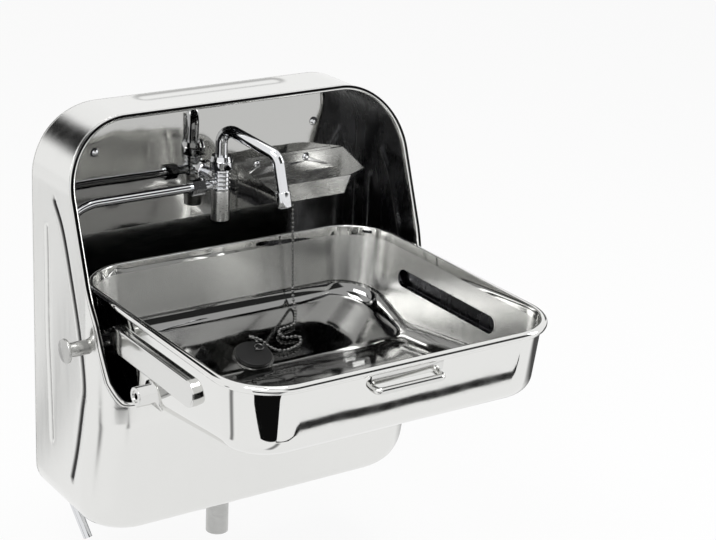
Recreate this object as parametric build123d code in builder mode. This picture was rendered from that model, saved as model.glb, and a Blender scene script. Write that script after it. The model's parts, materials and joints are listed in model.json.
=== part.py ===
from build123d import *
import math
import os

# A folding wash basin for a caravan. The bowl hangs on a piano hinge at the lip of a wall hood
# and swings up into the hood's mouth. Millimetres, X to the right, room side towards -Y, Z up.
# The origin is on the wall, midway between the screw holes of the two wall tabs.

overrun = 20.0
running_clearance = 0.05
sheet = 1.2

# Hood
hood_width = 400.0
hood_bottom = 10.0
hood_top = 440.0
hood_depth = 158.0
skirt_bottom_depth = 132.8
skirt_straight_bottom = 146.0
arch_radius = 71.0
base_radius = 36.0
base_edge_radius = 15.0
front_corner_radius = 38.0
base_bands = 9

# Mouth of the hood: the free edge, seen from the side, and the rolled hem behind it
mouth_slope = 0.371
mouth_knee_y = -132.5
mouth_knee_height = 253.5
mouth_turn_y = -145.5
mouth_turn_height = 192.0
lip_inset = 2.0
lip_height = 166.0
mouth_knee_radius = 80.0
mouth_turn_radius = 30.0
lip_turn_radius = 8.0
hem_width = 5.5
hem_side_share = 1.07
hem_lip_share = 0.36
hem_thickness = 1.1

# Pressed creases in the sides and the shallow panel in the top
crease_width = 3.0
crease_depth = 0.5
top_panel_length = 174.0
top_panel_width = 19.0
top_panel_y = -14.5

# Back plate with its wall tabs
tab_spacing = 224.0
tab_width = 20.0
tab_hole_radius = 4.0

# Splash panel
panel_front = 10.0
panel_sheet = 0.8
panel_bottom = 299.0
panel_top = 432.0
panel_foot_side_gap = 9.0
panel_foot_height = 310.0
panel_waist_side_gap = 28.0
panel_waist_height = 371.0
panel_head_side_gap = 35.0
panel_head_radius = 25.0
panel_waist_radius = 60.0
panel_screw_side_gap = 66.0
panel_screw_height = 386.6
panel_screw_radius = 2.0
panel_screw_head_radius = 5.0
panel_screw_head = 2.6
screw_hole_clearance = 0.2

# Hinge
hinge_y = -156.0
hinge_height = 171.5
knuckle_radius = 2.75
hinge_length = 210.0
knuckle_count = 15
knuckle_gap = 0.4
hinge_pin_radius = 1.25
leaf_thickness = 1.0
moving_leaf_width = 17.0
moving_leaf_chamfer = 6.0
fixed_leaf_bottom = 148.0
leaf_relief = 0.4

# Bowl pan
rim_top = 278.5
rim_height = 8.5
rim_side_gap = 15.25
rim_width = hood_width - rim_side_gap * 2
rim_rear = -49.0
rim_front = -402.0
rim_corner_radius = 60.0
rim_overhang = 4.75
rim_round_share = 0.49
wall_draft = 6.1
pan_low_y = -152.5
pan_low_height = 173.85
pan_front_slope = 0.124
pan_rear_slope = 0.33
pan_low_radius = 26.0
pan_edge_radius = 22.0

# Overflow
slot_rear = -128.0
slot_front = -296.0
slot_bottom = 228.0
slot_height = 19.0
slot_end_radius = 9.4
channel_rear = -120.0
channel_front = -305.0
channel_bottom = 225.5
channel_top = 253.0
channel_stand = 1.25
channel_face_x = rim_width / 2 + channel_stand
channel_end_radius = 12.0
channel_notch_rear = -138.0
slot_notch_rear = -141.0

# Drain of the bowl and its plug
drain_x = -12.0
drain_y = -134.0
drain_hole_radius = 16.0
drain_collar_wall = 1.0
drain_flange_radius = 22.0
drain_flange = 1.2
drain_collar_depth = 3.9
drain_bar_width = 2.2
drain_bar_depth = 1.1
plug_radius = 19.5
plug_head = 4.0
plug_nose_radius = 15.4
plug_nose_depth = 3.5
plug_nose_taper = 6.0
plug_lip_radius = 1.2
eye_x = 5.4
eye_y = 3.9
eye_radius = 2.5
eye_wire_radius = 0.6
ring_x = 9.4
ring_y = 6.4
ring_radius = 4.5
ring_wire_radius = 0.7
ring_lift = 0.3

# Front handle
handle_left = -48.0
handle_right = 33.0
handle_rim_gap = 8.9
handle_plate_height = 9.8
handle_plate_thickness = 1.2
handle_rod_radius = 3.5
handle_rod_reach = 2.0
handle_rod_drop = 4.3
handle_bend_radius = 5.0

# Latch
latch_y = -123.0
latch_height = 225.5
latch_hole_radius = 6.1
barrel_radius = 7.5
barrel_length = 21.0
barrel_neck_radius = 6.0
latch_nut_thickness = 5.4
latch_nut_radius = 10.0
spring_chamber_radius = 4.6
chamber_start = 3.0
chamber_length = 15.5
latch_pin_radius = 3.0
latch_pin_reach = 13.0
shoulder_radius = 4.3
shoulder_length = 1.5
knob_radius = 12.75
knob_thickness = 3.5
knob_gap = 0.5
knob_edge = 0.8
spring_wire_radius = 0.4
spring_radius = 3.9
spring_turns = 6
spring_end_gap = 0.3
strike_boss_radius = 9.5
strike_bore_clearance = 0.3
strike_stand = 5.75
strike_flange_radius = 13.5
strike_flange_thickness = 1.2
strike_tail_radius = 2.5
strike_tail_reach = 19.0
closed_strike_tail_angle = -35.0
open_strike_tail_angle = 60.0

# Tap
tap_y = -40.0
tap_radius = 10.0
tap_handle_bottom = 302.7
tap_handle_top = 336.0
tap_body_bottom = 336.3
tap_body_top = 360.0
tap_socket_bottom = 351.0
groove_height = 0.9
groove_depth = 0.5
groove_count = 4
collar_radius = 14.0
collar_neck_radius = 10.5
collar_height = 14.0
collar_hex_height = 8.0
spindle_radius = 4.0
spindle_length = 16.0
handle_bore_extra = 2.0
shank_height = 347.0
shank_radius = 6.0
shank_end = 2.4
flange_radius = 13.0
flange_thickness = 4.0
shank_nut_radius = 10.0
shank_nut_thickness = 5.0
inlet_height = 343.0
inlet_radius = 5.8
inlet_reach = 30.0
union_radius = 9.0
union_outer_x = 37.0
union_inner_x = 22.0

# Spout, in the upright plane that holds it: reach from the tap's axis, and rise and falls of its bends
spout_turn = 25.0
spout_radius = 6.5
spout_bore_radius = 5.5
spout_rise = 32.4
spout_bend_reach = 70.1
spout_bend_fall = 20.5
spout_tip_reach = 81.0
spout_tip_fall = 52.9
spout_first_bend = 13.8
spout_second_bend = 12.3
outlet_radius = 8.0
outlet_length = 17.0
outlet_edge = 1.0

# Supply pipe
pipe_radius = 5.0
pipe_bore_radius = 4.0
pipe_start_x = -30.0
pipe_side_gap = 9.0
pipe_knee_height = 55.0
pipe_end_side_gap = 22.0
pipe_end_y = -80.0
pipe_end_height = -14.0
pipe_top_bend = 45.0
pipe_low_bend = 40.0
pipe_way = 6.5

# Drain outlet of the hood
outlet_pipe_radius = 12.7
outlet_thread_radius = 13.0
outlet_pipe_wall = 1.2
outlet_pipe_y = -47.0
outlet_pipe_end = -66.0
outlet_flange_radius = 20.0
outlet_flange_thickness = 1.6
outlet_hole_clearance = 0.2
outlet_nut_radius = 18.0
outlet_nut_height = 6.0

# Soap dish, its tray leaning forward
dish_tap_gap = 33.0
dish_side_gap = 25.0
dish_back_y = -10.6
dish_height = 330.0
dish_lean = 9.8
dish_depth = 22.0
dish_sheet = 0.8
dish_back_flare = 8.0
dish_floor_front_half = 35.0
dish_floor_tip_half = 38.0
dish_floor_length = 58.9
dish_floor_tip_reach = 56.0
dish_rim_back_reach = 3.7
dish_rim_tip_inset = 6.0
dish_rim_tip_reach = 50.0
dish_rim_front_half = 39.5
dish_rim_front_reach = 60.2
dish_flange_left_inset = 15.0
dish_flange_right_inset = 17.0
dish_flange_top = 355.0
dish_flange_sheet = 1.0
dish_screw_left_inset = 14.0
dish_screw_right_inset = 33.0
dish_screw_height = 347.4
dish_screw_radius = 1.8
dish_screw_head_radius = 4.6
dish_screw_head = 2.6
dish_screw_reach = 5.0

# Bead chain
chain_radius = 1.8
cord_bend_share = 0.45
chain_top_x = 74.0
chain_top_y = -67.0
chain_top_height = 317.0
chain_foot_x = 75.2
chain_foot_y = -71.0
chain_foot_height = 219.0
eyelet_radius = 2.6
eyelet_wire_radius = 0.6
hang_points = [(74.5, -68.6, 283.0), (74.6, -69.6, 250.0)]
lying_points = [
    (75.41, -71.5, 208.0), (72.0, -83.5, 202.0), (64.5, -95.0, 198.0), (56.5, -106.5, 194.2),
    (44.0, -107.6, 193.8), (33.0, -108.8, 193.4), (31.5, -121.2, 189.3), (42.0, -122.4, 188.9),
    (52.5, -123.4, 188.6), (47.5, -134.2, 185.0), (34.0, -138.6, 183.6), (19.5, -140.0, 183.1),
    (9.8, -130.2, 186.6), (7.6, -117.5, 190.8), (-1.2, -110.8, 193.4), (-6.0, -116.5, 196.4),
    (-5.6, -122.5, 197.2), (-3.4, -126.3, 195.0),
]
chain_end = (-2.6, -126.05, 191.76)

os.makedirs("parts", exist_ok=True)


# A finished piece gets its name and its own STEP file
def finish(builder, name):
    builder.part.label = name
    export_step(builder.part, "parts/" + name + ".step")


# Half the hood's width at a height, with the round of its lower corners
def base_half_width(height, inset):
    drop = max(hood_bottom + base_radius - height, 0)
    reach = math.sqrt(max((base_radius - inset) ** 2 - drop ** 2, 0))
    return hood_width / 2 - base_radius + reach


# Depth of the skirt at a height: it draws in downwards and rounds under at the bottom
def base_depth(height, inset):
    share = (height - hood_bottom) / (skirt_straight_bottom - hood_bottom)
    plain = skirt_bottom_depth + (hood_depth - skirt_bottom_depth) * share
    drop = max(hood_bottom + base_edge_radius - height, 0)
    reach = math.sqrt(max((base_edge_radius - inset) ** 2 - drop ** 2, 0))
    return plain - base_edge_radius + reach


# One level section of the hood, open corners to the back
def hood_section(height, inset, back):
    half = base_half_width(height, inset)
    depth = base_depth(height, inset)
    radius = front_corner_radius - inset
    with BuildSketch(Plane.XY.offset(height)) as section:
        with BuildLine():
            FilletPolyline(
                (-half, -back), (-half, -depth), (half, -depth), (half, -back), radius=radius
            )
            Line((half, -back), (-half, -back))
        make_face()
    return section.sketch


# The whole space of the hood, each wall pulled in by an inset
def hood_volume(inset, back):
    half = hood_width / 2 - inset
    top = hood_top - inset
    base_centre = hood_bottom + base_radius
    sections = [hood_section(skirt_straight_bottom, inset, back)]
    for band in range(base_bands + 1):
        angle = math.radians(90 * band / base_bands)
        sections.append(hood_section(base_centre - (base_radius - inset) * math.sin(angle), inset, back))
    with BuildPart() as skirt:
        loft(sections, ruled=True)
    with BuildPart() as arch:
        with BuildSketch(Plane.XZ.offset(back)):
            with BuildLine():
                FilletPolyline(
                    (-half, skirt_straight_bottom), (-half, top), (half, top), (half, skirt_straight_bottom),
                    radius=arch_radius - inset,
                )
                Line((half, skirt_straight_bottom), (-half, skirt_straight_bottom))
            make_face()
        extrude(amount=hood_depth - inset - back)
        front = arch.faces().sort_by(Axis.Y)[0]
        rim = [edge for edge in front.edges() if edge.center().Z > skirt_straight_bottom + sheet]
        fillet(rim, radius=front_corner_radius - inset)
    return skirt.part + arch.part


# The room in front of the mouth's edge, or of a line set back from it by the hem
def mouth_space(hem):
    side_back = hem * hem_side_share
    lip_back = hem * hem_lip_share
    knee = (mouth_knee_y + side_back, mouth_knee_height)
    turn = (mouth_turn_y + side_back, mouth_turn_height - lip_back)
    lip = (-hood_depth + lip_inset + lip_back, lip_height - hem)
    head_height = hood_top + overrun
    head = (knee[0] + mouth_slope * (head_height - knee[1]), head_height)
    foot = (-hood_depth - overrun, lip[1])
    with BuildPart() as space:
        with BuildSketch(Plane.YZ):
            with BuildLine():
                FilletPolyline(
                    head, knee, turn, lip, foot,
                    radius=[mouth_knee_radius, mouth_turn_radius, lip_turn_radius],
                )
                Polyline(foot, (foot[0], head_height), head)
            make_face()
        extrude(amount=hood_width, both=True)
    return space.part


# Creases of the sides as shares of the hood's depth and height, from the top down
front_crease_shares = [
    (0.329, 0.805), (0.443, 0.749), (0.551, 0.651), (0.677, 0.516), (0.741, 0.4), (0.709, 0.33),
    (0.633, 0.214), (0.557, 0.128),
]
rear_crease_shares = [(0.209, 0.726), (0.215, 0.621), (0.215, 0.467), (0.237, 0.34), (0.259, 0.191)]
hood_height = hood_top - hood_bottom


def crease_points(shares):
    return [(-hood_depth * depth, hood_bottom + hood_height * height) for depth, height in shares]


# Sheet metal hood: drawn shell, mouth with its rolled hem, creases, holes for what passes through
hood_outside = hood_volume(0, sheet)
hood_inside = hood_volume(sheet, -overrun)
hood_swell = hood_volume(-hem_thickness, sheet)

with BuildPart() as hem_ring:
    add(hood_swell)
    add(mouth_space(hem_width), mode=Mode.INTERSECT)

pipe_side_x = -hood_width / 2 + pipe_side_gap
pipe_end_x = -hood_width / 2 + pipe_end_side_gap
pipe_corner = (pipe_side_x, tap_y, pipe_knee_height)
pipe_end = (pipe_end_x, pipe_end_y, pipe_end_height)
pipe_fall = (Vector(*pipe_end) - Vector(*pipe_corner)).normalized()
shelf_plane = Plane.XY.offset(hood_bottom)

with BuildPart() as housing_shell:
    add(hood_outside)
    add(hem_ring.part)
    add(hood_inside, mode=Mode.SUBTRACT)
    add(mouth_space(0), mode=Mode.SUBTRACT)
    for side in (-1, 1):
        side_plane = Plane((side * hood_width / 2, 0, 0), x_dir=(0, 1, 0), z_dir=(1, 0, 0))
        for shares in (front_crease_shares, rear_crease_shares):
            with BuildSketch(side_plane):
                with BuildLine():
                    Spline(*crease_points(shares))
                trace(line_width=crease_width)
            extrude(amount=-side * crease_depth, mode=Mode.SUBTRACT)
    with BuildSketch(Plane.XY.offset(hood_top)):
        with Locations((0, top_panel_y)):
            SlotOverall(top_panel_length, top_panel_width)
    extrude(amount=-crease_depth, mode=Mode.SUBTRACT)
    with BuildSketch(Plane.YZ.offset(-hood_width / 2 - overrun)):
        with Locations((latch_y, latch_height)):
            Circle(latch_hole_radius)
    extrude(amount=overrun * 2, mode=Mode.SUBTRACT)
    with BuildSketch(shelf_plane.offset(-overrun)):
        with Locations((0, outlet_pipe_y)):
            Circle(outlet_thread_radius + outlet_hole_clearance)
    extrude(amount=overrun * 2, mode=Mode.SUBTRACT)
    with BuildSketch(Plane(pipe_corner, z_dir=pipe_fall)):
        Circle(pipe_way)
    extrude(amount=(Vector(*pipe_end) - Vector(*pipe_corner)).length, mode=Mode.SUBTRACT)
finish(housing_shell, "housing_shell")

panel_screw_x = hood_width / 2 - panel_screw_side_gap

# Back plate against the wall, with two tabs below
with BuildPart() as back_plate:
    with BuildSketch(Plane.XZ):
        with BuildLine():
            half = hood_width / 2
            FilletPolyline(
                (-half, hood_bottom), (-half, hood_top), (half, hood_top), (half, hood_bottom),
                close=True, radius=[base_radius, arch_radius, arch_radius, base_radius],
            )
        make_face()
        with Locations((-tab_spacing / 2, 0), (tab_spacing / 2, 0)):
            Circle(tab_width / 2)
        with Locations((-tab_spacing / 2, hood_bottom), (tab_spacing / 2, hood_bottom)):
            Rectangle(tab_width, hood_bottom * 2)
        with Locations((-tab_spacing / 2, 0), (tab_spacing / 2, 0)):
            Circle(tab_hole_radius, mode=Mode.SUBTRACT)
        with Locations((-panel_screw_x, panel_screw_height), (panel_screw_x, panel_screw_height)):
            Circle(panel_screw_radius + screw_hole_clearance, mode=Mode.SUBTRACT)
    extrude(amount=sheet)
finish(back_plate, "back_plate")


dish_rim_back_half = (hood_width / 2 - dish_side_gap - dish_tap_gap) / 2
dish_x = dish_tap_gap + dish_rim_back_half
dish_floor_back_half = dish_rim_back_half - dish_back_flare
dish_rim_tip_half = dish_rim_back_half - dish_rim_tip_inset
dish_flange_left = dish_x - dish_rim_back_half + dish_flange_left_inset
dish_flange_right = dish_x + dish_rim_back_half - dish_flange_right_inset
dish_screw_left = dish_flange_left + dish_screw_left_inset
dish_screw_right = dish_flange_right - dish_screw_right_inset


# Outline of the splash panel at the back plate, pulled in by an inset
def panel_outline(inset):
    foot = hood_width / 2 - panel_foot_side_gap - inset
    waist = hood_width / 2 - panel_waist_side_gap - inset
    head = hood_width / 2 - panel_head_side_gap - inset
    bottom = panel_bottom + inset
    top = panel_top - inset
    with BuildSketch(Plane.XZ.offset(sheet)) as outline:
        with BuildLine():
            FilletPolyline(
                (-foot, bottom), (-foot, panel_foot_height), (-waist, panel_waist_height), (-head, top),
                (head, top), (waist, panel_waist_height), (foot, panel_foot_height), (foot, bottom),
                close=True,
                radius=[
                    0, 0, panel_waist_radius, panel_head_radius, panel_head_radius, panel_waist_radius, 0, 0,
                ],
            )
        make_face()
    return outline.sketch


# Mirror-bright splash panel: a shallow tray with its edges folded back to the back plate
with BuildPart() as mirror_panel:
    extrude(panel_outline(0), amount=panel_front - sheet)
    extrude(panel_outline(panel_sheet), amount=panel_front - sheet - panel_sheet, mode=Mode.SUBTRACT)
    with BuildSketch(Plane.XZ.offset(panel_front)):
        with Locations((-panel_screw_x, panel_screw_height), (panel_screw_x, panel_screw_height)):
            Circle(panel_screw_radius + screw_hole_clearance)
        with Locations((0, shank_height)):
            Circle(shank_radius + screw_hole_clearance)
        with Locations((dish_screw_left, dish_screw_height), (dish_screw_right, dish_screw_height)):
            Circle(dish_screw_radius + screw_hole_clearance)
    extrude(amount=-panel_sheet * 2, mode=Mode.SUBTRACT)
finish(mirror_panel, "mirror_panel")


# Round-headed screw along Y: the head's seat and the shank's end as distances from the wall
def dome_screw(x, height, seat, end, head_radius, head_height, shank):
    diagonal = math.sin(math.pi / 4)
    with BuildPart() as screw:
        with BuildSketch(Plane((x, 0, height), x_dir=(1, 0, 0), z_dir=(0, 0, 1))):
            with BuildLine():
                ThreePointArc(
                    (0, -seat - head_height), (head_radius * diagonal, -seat - head_height * diagonal),
                    (head_radius, -seat),
                )
                Polyline(
                    (head_radius, -seat), (shank, -seat), (shank, -end), (0, -end), (0, -seat - head_height)
                )
            make_face()
        revolve(axis=Axis((x, 0, height), (0, 1, 0)))
    return screw.part


with BuildPart() as mirror_panel_screws:
    for side in (-1, 1):
        add(dome_screw(
            side * panel_screw_x, panel_screw_height, panel_front, 0,
            panel_screw_head_radius, panel_screw_head, panel_screw_radius,
        ))
finish(mirror_panel_screws, "mirror_panel_screws")


# Level section of the soap dish's tray as half widths and reaches from the back line
def dish_section(level, inset, back, tip, front):
    tray_plane = Plane((dish_x, dish_back_y, dish_height), x_dir=(1, 0, 0), z_dir=(0, 0, 1))
    tray_plane = tray_plane.rotated((dish_lean, 0, 0))
    back_half, back_y = back
    tip_half, tip_y = tip
    front_half, front_y = front
    with BuildSketch(tray_plane.offset(level)) as section:
        with BuildLine():
            Polyline(
                (-back_half + inset, back_y - inset), (-tip_half + inset, -tip_y + inset / 2),
                (-front_half + inset / 2, -front_y + inset), (front_half - inset / 2, -front_y + inset),
                (tip_half - inset, -tip_y + inset / 2), (back_half - inset, back_y - inset),
                close=True,
            )
        make_face()
    return section.sketch


dish_floor = [
    (dish_floor_back_half, 0), (dish_floor_tip_half, dish_floor_tip_reach),
    (dish_floor_front_half, dish_floor_length),
]
dish_rim = [
    (dish_rim_back_half, dish_rim_back_reach), (dish_rim_tip_half, dish_rim_tip_reach),
    (dish_rim_front_half, dish_rim_front_reach),
]

# Soap dish: folded tray with a back flange on the splash panel
with BuildPart() as soap_dish:
    loft([dish_section(0, 0, *dish_floor), dish_section(dish_depth, 0, *dish_rim)], ruled=True)
    hollow = [
        dish_section(dish_sheet, dish_sheet, *dish_floor),
        dish_section(dish_depth + dish_sheet, dish_sheet, *dish_rim),
    ]
    loft(hollow, ruled=True, mode=Mode.SUBTRACT)
    split(bisect_by=Plane.XZ.offset(-dish_back_y - dish_flange_sheet / 2), keep=Keep.TOP)
    with BuildSketch(Plane.XZ.offset(panel_front)):
        with BuildLine():
            Polyline(
                (dish_flange_left, dish_height), (dish_flange_right, dish_height),
                (dish_flange_right, dish_flange_top), (dish_flange_left, dish_flange_top), close=True,
            )
        make_face()
    extrude(amount=dish_flange_sheet)
    with BuildSketch(Plane.XZ.offset(panel_front)):
        with Locations((dish_screw_left, dish_screw_height), (dish_screw_right, dish_screw_height)):
            Circle(dish_screw_radius + screw_hole_clearance)
    extrude(amount=dish_flange_sheet, mode=Mode.SUBTRACT)
    with BuildSketch(Plane.XZ.offset(panel_front + dish_flange_sheet)):
        with Locations((dish_screw_left, dish_screw_height), (dish_screw_right, dish_screw_height)):
            Circle(dish_screw_head_radius + screw_hole_clearance)
    extrude(amount=dish_screw_head, mode=Mode.SUBTRACT)
finish(soap_dish, "soap_dish")

with BuildPart() as soap_dish_screws:
    for x in (dish_screw_left, dish_screw_right):
        add(dome_screw(
            x, dish_screw_height, panel_front + dish_flange_sheet, dish_screw_reach,
            dish_screw_head_radius, dish_screw_head, dish_screw_radius,
        ))
finish(soap_dish_screws, "soap_dish_screws")

# Tap body: grooved barrel with the spout's socket, wall shank, side inlet and spindle
with BuildPart() as tap_body:
    with BuildSketch(Plane.XY.offset(tap_body_bottom)):
        with Locations((0, tap_y)):
            Circle(tap_radius)
    extrude(amount=tap_body_top - tap_body_bottom)
    groove_pitch = (tap_body_top - tap_body_bottom) / (groove_count + 1)
    for index in range(groove_count):
        with BuildSketch(Plane.XY.offset(tap_body_bottom + groove_pitch * (index + 1))):
            with Locations((0, tap_y)):
                Circle(tap_radius)
                Circle(tap_radius - groove_depth, mode=Mode.SUBTRACT)
        extrude(amount=groove_height, mode=Mode.SUBTRACT)
    with BuildSketch(Plane.XZ.offset(-tap_y)):
        with Locations((0, shank_height)):
            Circle(shank_radius)
    extrude(amount=tap_y + shank_end)
    with BuildSketch(Plane.YZ):
        with Locations((tap_y, inlet_height)):
            Circle(inlet_radius)
    extrude(amount=-inlet_reach)
    with BuildSketch(Plane.XY.offset(tap_socket_bottom)):
        with Locations((0, tap_y)):
            Circle(spout_radius + running_clearance)
    extrude(amount=tap_body_top - tap_socket_bottom, mode=Mode.SUBTRACT)
    with BuildSketch(Plane.XY.offset(tap_body_bottom)):
        with Locations((0, tap_y)):
            Circle(spindle_radius)
    extrude(amount=-spindle_length)
finish(tap_body, "tap_body")

# Turning sleeve below the body, which opens the tap
with BuildPart() as tap_handle:
    with BuildSketch(Plane.XY.offset(tap_handle_bottom)):
        with Locations((0, tap_y)):
            Circle(tap_radius)
    extrude(amount=tap_handle_top - tap_handle_bottom)
    chamfer(tap_handle.faces().sort_by(Axis.Z)[0].edges(), length=knob_edge)
    with BuildSketch(Plane.XY.offset(tap_handle_top)):
        with Locations((0, tap_y)):
            Circle(spindle_radius + running_clearance)
    extrude(amount=-spindle_length - handle_bore_extra, mode=Mode.SUBTRACT)
finish(tap_handle, "tap_handle")

# Collar nut that holds the spout in its socket
with BuildPart() as tap_collar_nut:
    with BuildSketch(Plane.XY.offset(tap_body_top)):
        with Locations((0, tap_y)):
            RegularPolygon(collar_radius, 6)
    extrude(amount=collar_hex_height)
    with BuildSketch(Plane.XY.offset(tap_body_top + collar_hex_height)):
        with Locations((0, tap_y)):
            Circle(collar_radius * math.cos(math.pi / 6))
    with BuildSketch(Plane.XY.offset(tap_body_top + collar_height)):
        with Locations((0, tap_y)):
            Circle(collar_neck_radius)
    loft()
    with BuildSketch(Plane.XY.offset(tap_body_top)):
        with Locations((0, tap_y)):
            Circle(spout_radius + running_clearance)
    extrude(amount=collar_height, mode=Mode.SUBTRACT)
finish(tap_collar_nut, "tap_collar_nut")


# Flat ring or nut along Y, its far face given as a distance from the wall
def ring_along_y(face, thickness, height, outer, bore, hexagonal):
    with BuildPart() as ring:
        with BuildSketch(Plane.XZ.offset(face)):
            with Locations((0, height)):
                if hexagonal:
                    RegularPolygon(outer, 6)
                else:
                    Circle(outer)
                Circle(bore, mode=Mode.SUBTRACT)
        extrude(amount=-thickness)
    return ring.part


with BuildPart() as tap_wall_flange:
    add(ring_along_y(
        panel_front + flange_thickness, flange_thickness, shank_height,
        flange_radius, shank_radius + running_clearance, False,
    ))
    chamfer(tap_wall_flange.faces().sort_by(Axis.Y)[0].edges().sort_by(SortBy.RADIUS)[-1], length=knob_edge)
finish(tap_wall_flange, "tap_wall_flange")

with BuildPart() as tap_lock_nut:
    add(ring_along_y(
        panel_front - panel_sheet, shank_nut_thickness, shank_height,
        shank_nut_radius, shank_radius + running_clearance, True,
    ))
finish(tap_lock_nut, "tap_lock_nut")

# Union nut on the side inlet
with BuildPart() as supply_union_nut:
    with BuildSketch(Plane.YZ.offset(-union_outer_x)):
        with Locations((tap_y, inlet_height)):
            RegularPolygon(union_radius, 6)
            Circle(pipe_radius + running_clearance, mode=Mode.SUBTRACT)
    extrude(amount=union_outer_x - union_inner_x)
    with BuildSketch(Plane.YZ.offset(-inlet_reach)):
        with Locations((tap_y, inlet_height)):
            Circle(inlet_radius + running_clearance)
    extrude(amount=inlet_reach, mode=Mode.SUBTRACT)
finish(supply_union_nut, "supply_union_nut")

# Supply pipe: along the splash panel, down the side of the hood and out below
with BuildPart() as supply_pipe:
    with BuildLine() as pipe_route:
        FilletPolyline(
            (pipe_start_x, tap_y, inlet_height), (pipe_side_x, tap_y, inlet_height), pipe_corner, pipe_end,
            radius=[pipe_top_bend, pipe_low_bend],
        )
    with BuildSketch(Plane((pipe_start_x, tap_y, inlet_height), z_dir=(-1, 0, 0))):
        Circle(pipe_radius)
        Circle(pipe_bore_radius, mode=Mode.SUBTRACT)
    sweep(path=pipe_route.line)
finish(supply_pipe, "supply_pipe")

# Spout: one bent tube in an upright plane through the tap's axis
spout_crown_height = tap_body_top + collar_height + spout_rise
spout_bend_height = spout_crown_height - spout_bend_fall
spout_tip_height = spout_bend_height - spout_tip_fall
turn = math.radians(spout_turn)
spout_plane = Plane(
    (0, tap_y, 0), x_dir=(math.sin(turn), -math.cos(turn), 0), z_dir=(-math.cos(turn), -math.sin(turn), 0)
)
spout_drop = (Vector(spout_tip_reach, spout_tip_height) - Vector(spout_bend_reach, spout_bend_height)).normalized()
outlet_top = Vector(spout_tip_reach, spout_tip_height) - spout_drop * outlet_length

with BuildPart() as tap_spout:
    with BuildLine(spout_plane) as spout_route:
        FilletPolyline(
            (0, tap_socket_bottom), (0, spout_crown_height), (spout_bend_reach, spout_bend_height),
            (outlet_top.X, outlet_top.Y), radius=[spout_first_bend, spout_second_bend],
        )
    with BuildSketch(Plane.XY.offset(tap_socket_bottom)):
        with Locations((0, tap_y)):
            Circle(spout_radius)
            Circle(spout_bore_radius, mode=Mode.SUBTRACT)
    sweep(path=spout_route.line)
finish(tap_spout, "tap_spout")

# Sleeve on the end of the spout
outlet_start = spout_plane.from_local_coords(Vector(outlet_top.X, outlet_top.Y, 0))
outlet_end = spout_plane.from_local_coords(Vector(spout_tip_reach, spout_tip_height, 0))
with BuildPart() as spout_outlet:
    with BuildSketch(Plane(outlet_start, z_dir=outlet_end - outlet_start)):
        Circle(outlet_radius)
        Circle(spout_bore_radius, mode=Mode.SUBTRACT)
    extrude(amount=outlet_length)
    round_edges = spout_outlet.edges().filter_by(GeomType.CIRCLE).group_by(SortBy.RADIUS)[-1]
    chamfer(round_edges, length=outlet_edge)
finish(spout_outlet, "spout_outlet")

# Drain outlet: flanged pipe with a threaded neck through the bottom of the hood, and its nut below
with BuildPart() as drain_outlet:
    with BuildSketch(Plane.XY.offset(outlet_pipe_end)):
        with Locations((0, outlet_pipe_y)):
            Circle(outlet_pipe_radius)
    extrude(amount=hood_bottom + sheet - outlet_pipe_end)
    with BuildSketch(Plane.XY.offset(hood_bottom - outlet_nut_height)):
        with Locations((0, outlet_pipe_y)):
            Circle(outlet_thread_radius)
    extrude(amount=outlet_nut_height + sheet)
    with BuildSketch(Plane.XY.offset(hood_bottom + sheet)):
        with Locations((0, outlet_pipe_y)):
            Circle(outlet_flange_radius)
    extrude(amount=outlet_flange_thickness)
    with BuildSketch(Plane.XY.offset(outlet_pipe_end)):
        with Locations((0, outlet_pipe_y)):
            Circle(outlet_pipe_radius - outlet_pipe_wall)
    extrude(amount=hood_bottom + sheet + outlet_flange_thickness - outlet_pipe_end, mode=Mode.SUBTRACT)
finish(drain_outlet, "drain_outlet")

with BuildPart() as drain_locknut:
    with BuildSketch(Plane.XY.offset(hood_bottom)):
        with Locations((0, outlet_pipe_y)):
            RegularPolygon(outlet_nut_radius, 6)
            Circle(outlet_thread_radius + running_clearance, mode=Mode.SUBTRACT)
    extrude(amount=-outlet_nut_height)
finish(drain_locknut, "drain_locknut")

# Latch in the left side of the hood: barrel, nut, spring, pin and knob on one axis along X
wall_x = -hood_width / 2
latch_plane = Plane((wall_x, latch_y, latch_height), x_dir=(0, 1, 0), z_dir=(-1, 0, 0))
nut_inner = sheet + latch_nut_thickness
latch_pin_tip_x = wall_x + latch_pin_reach
chamber_end = chamber_start + chamber_length

with BuildPart() as latch_barrel:
    with BuildSketch(latch_plane):
        Circle(barrel_radius)
    extrude(amount=barrel_length)
    chamfer(latch_barrel.faces().sort_by(Axis.X)[0].edges(), length=knob_edge)
    with BuildSketch(latch_plane):
        Circle(barrel_neck_radius)
    extrude(amount=-nut_inner)
    with BuildSketch(latch_plane.offset(-nut_inner)):
        Circle(latch_pin_radius + running_clearance)
    extrude(amount=nut_inner + barrel_length, mode=Mode.SUBTRACT)
    with BuildSketch(latch_plane.offset(chamber_start)):
        Circle(spring_chamber_radius)
    extrude(amount=chamber_length, mode=Mode.SUBTRACT)
finish(latch_barrel, "latch_barrel")

with BuildPart() as latch_locknut:
    with BuildSketch(latch_plane.offset(-sheet)):
        RegularPolygon(latch_nut_radius, 6)
        Circle(barrel_neck_radius + running_clearance, mode=Mode.SUBTRACT)
    extrude(amount=-latch_nut_thickness)
    add(hood_inside, mode=Mode.INTERSECT)
finish(latch_locknut, "latch_locknut")

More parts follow.
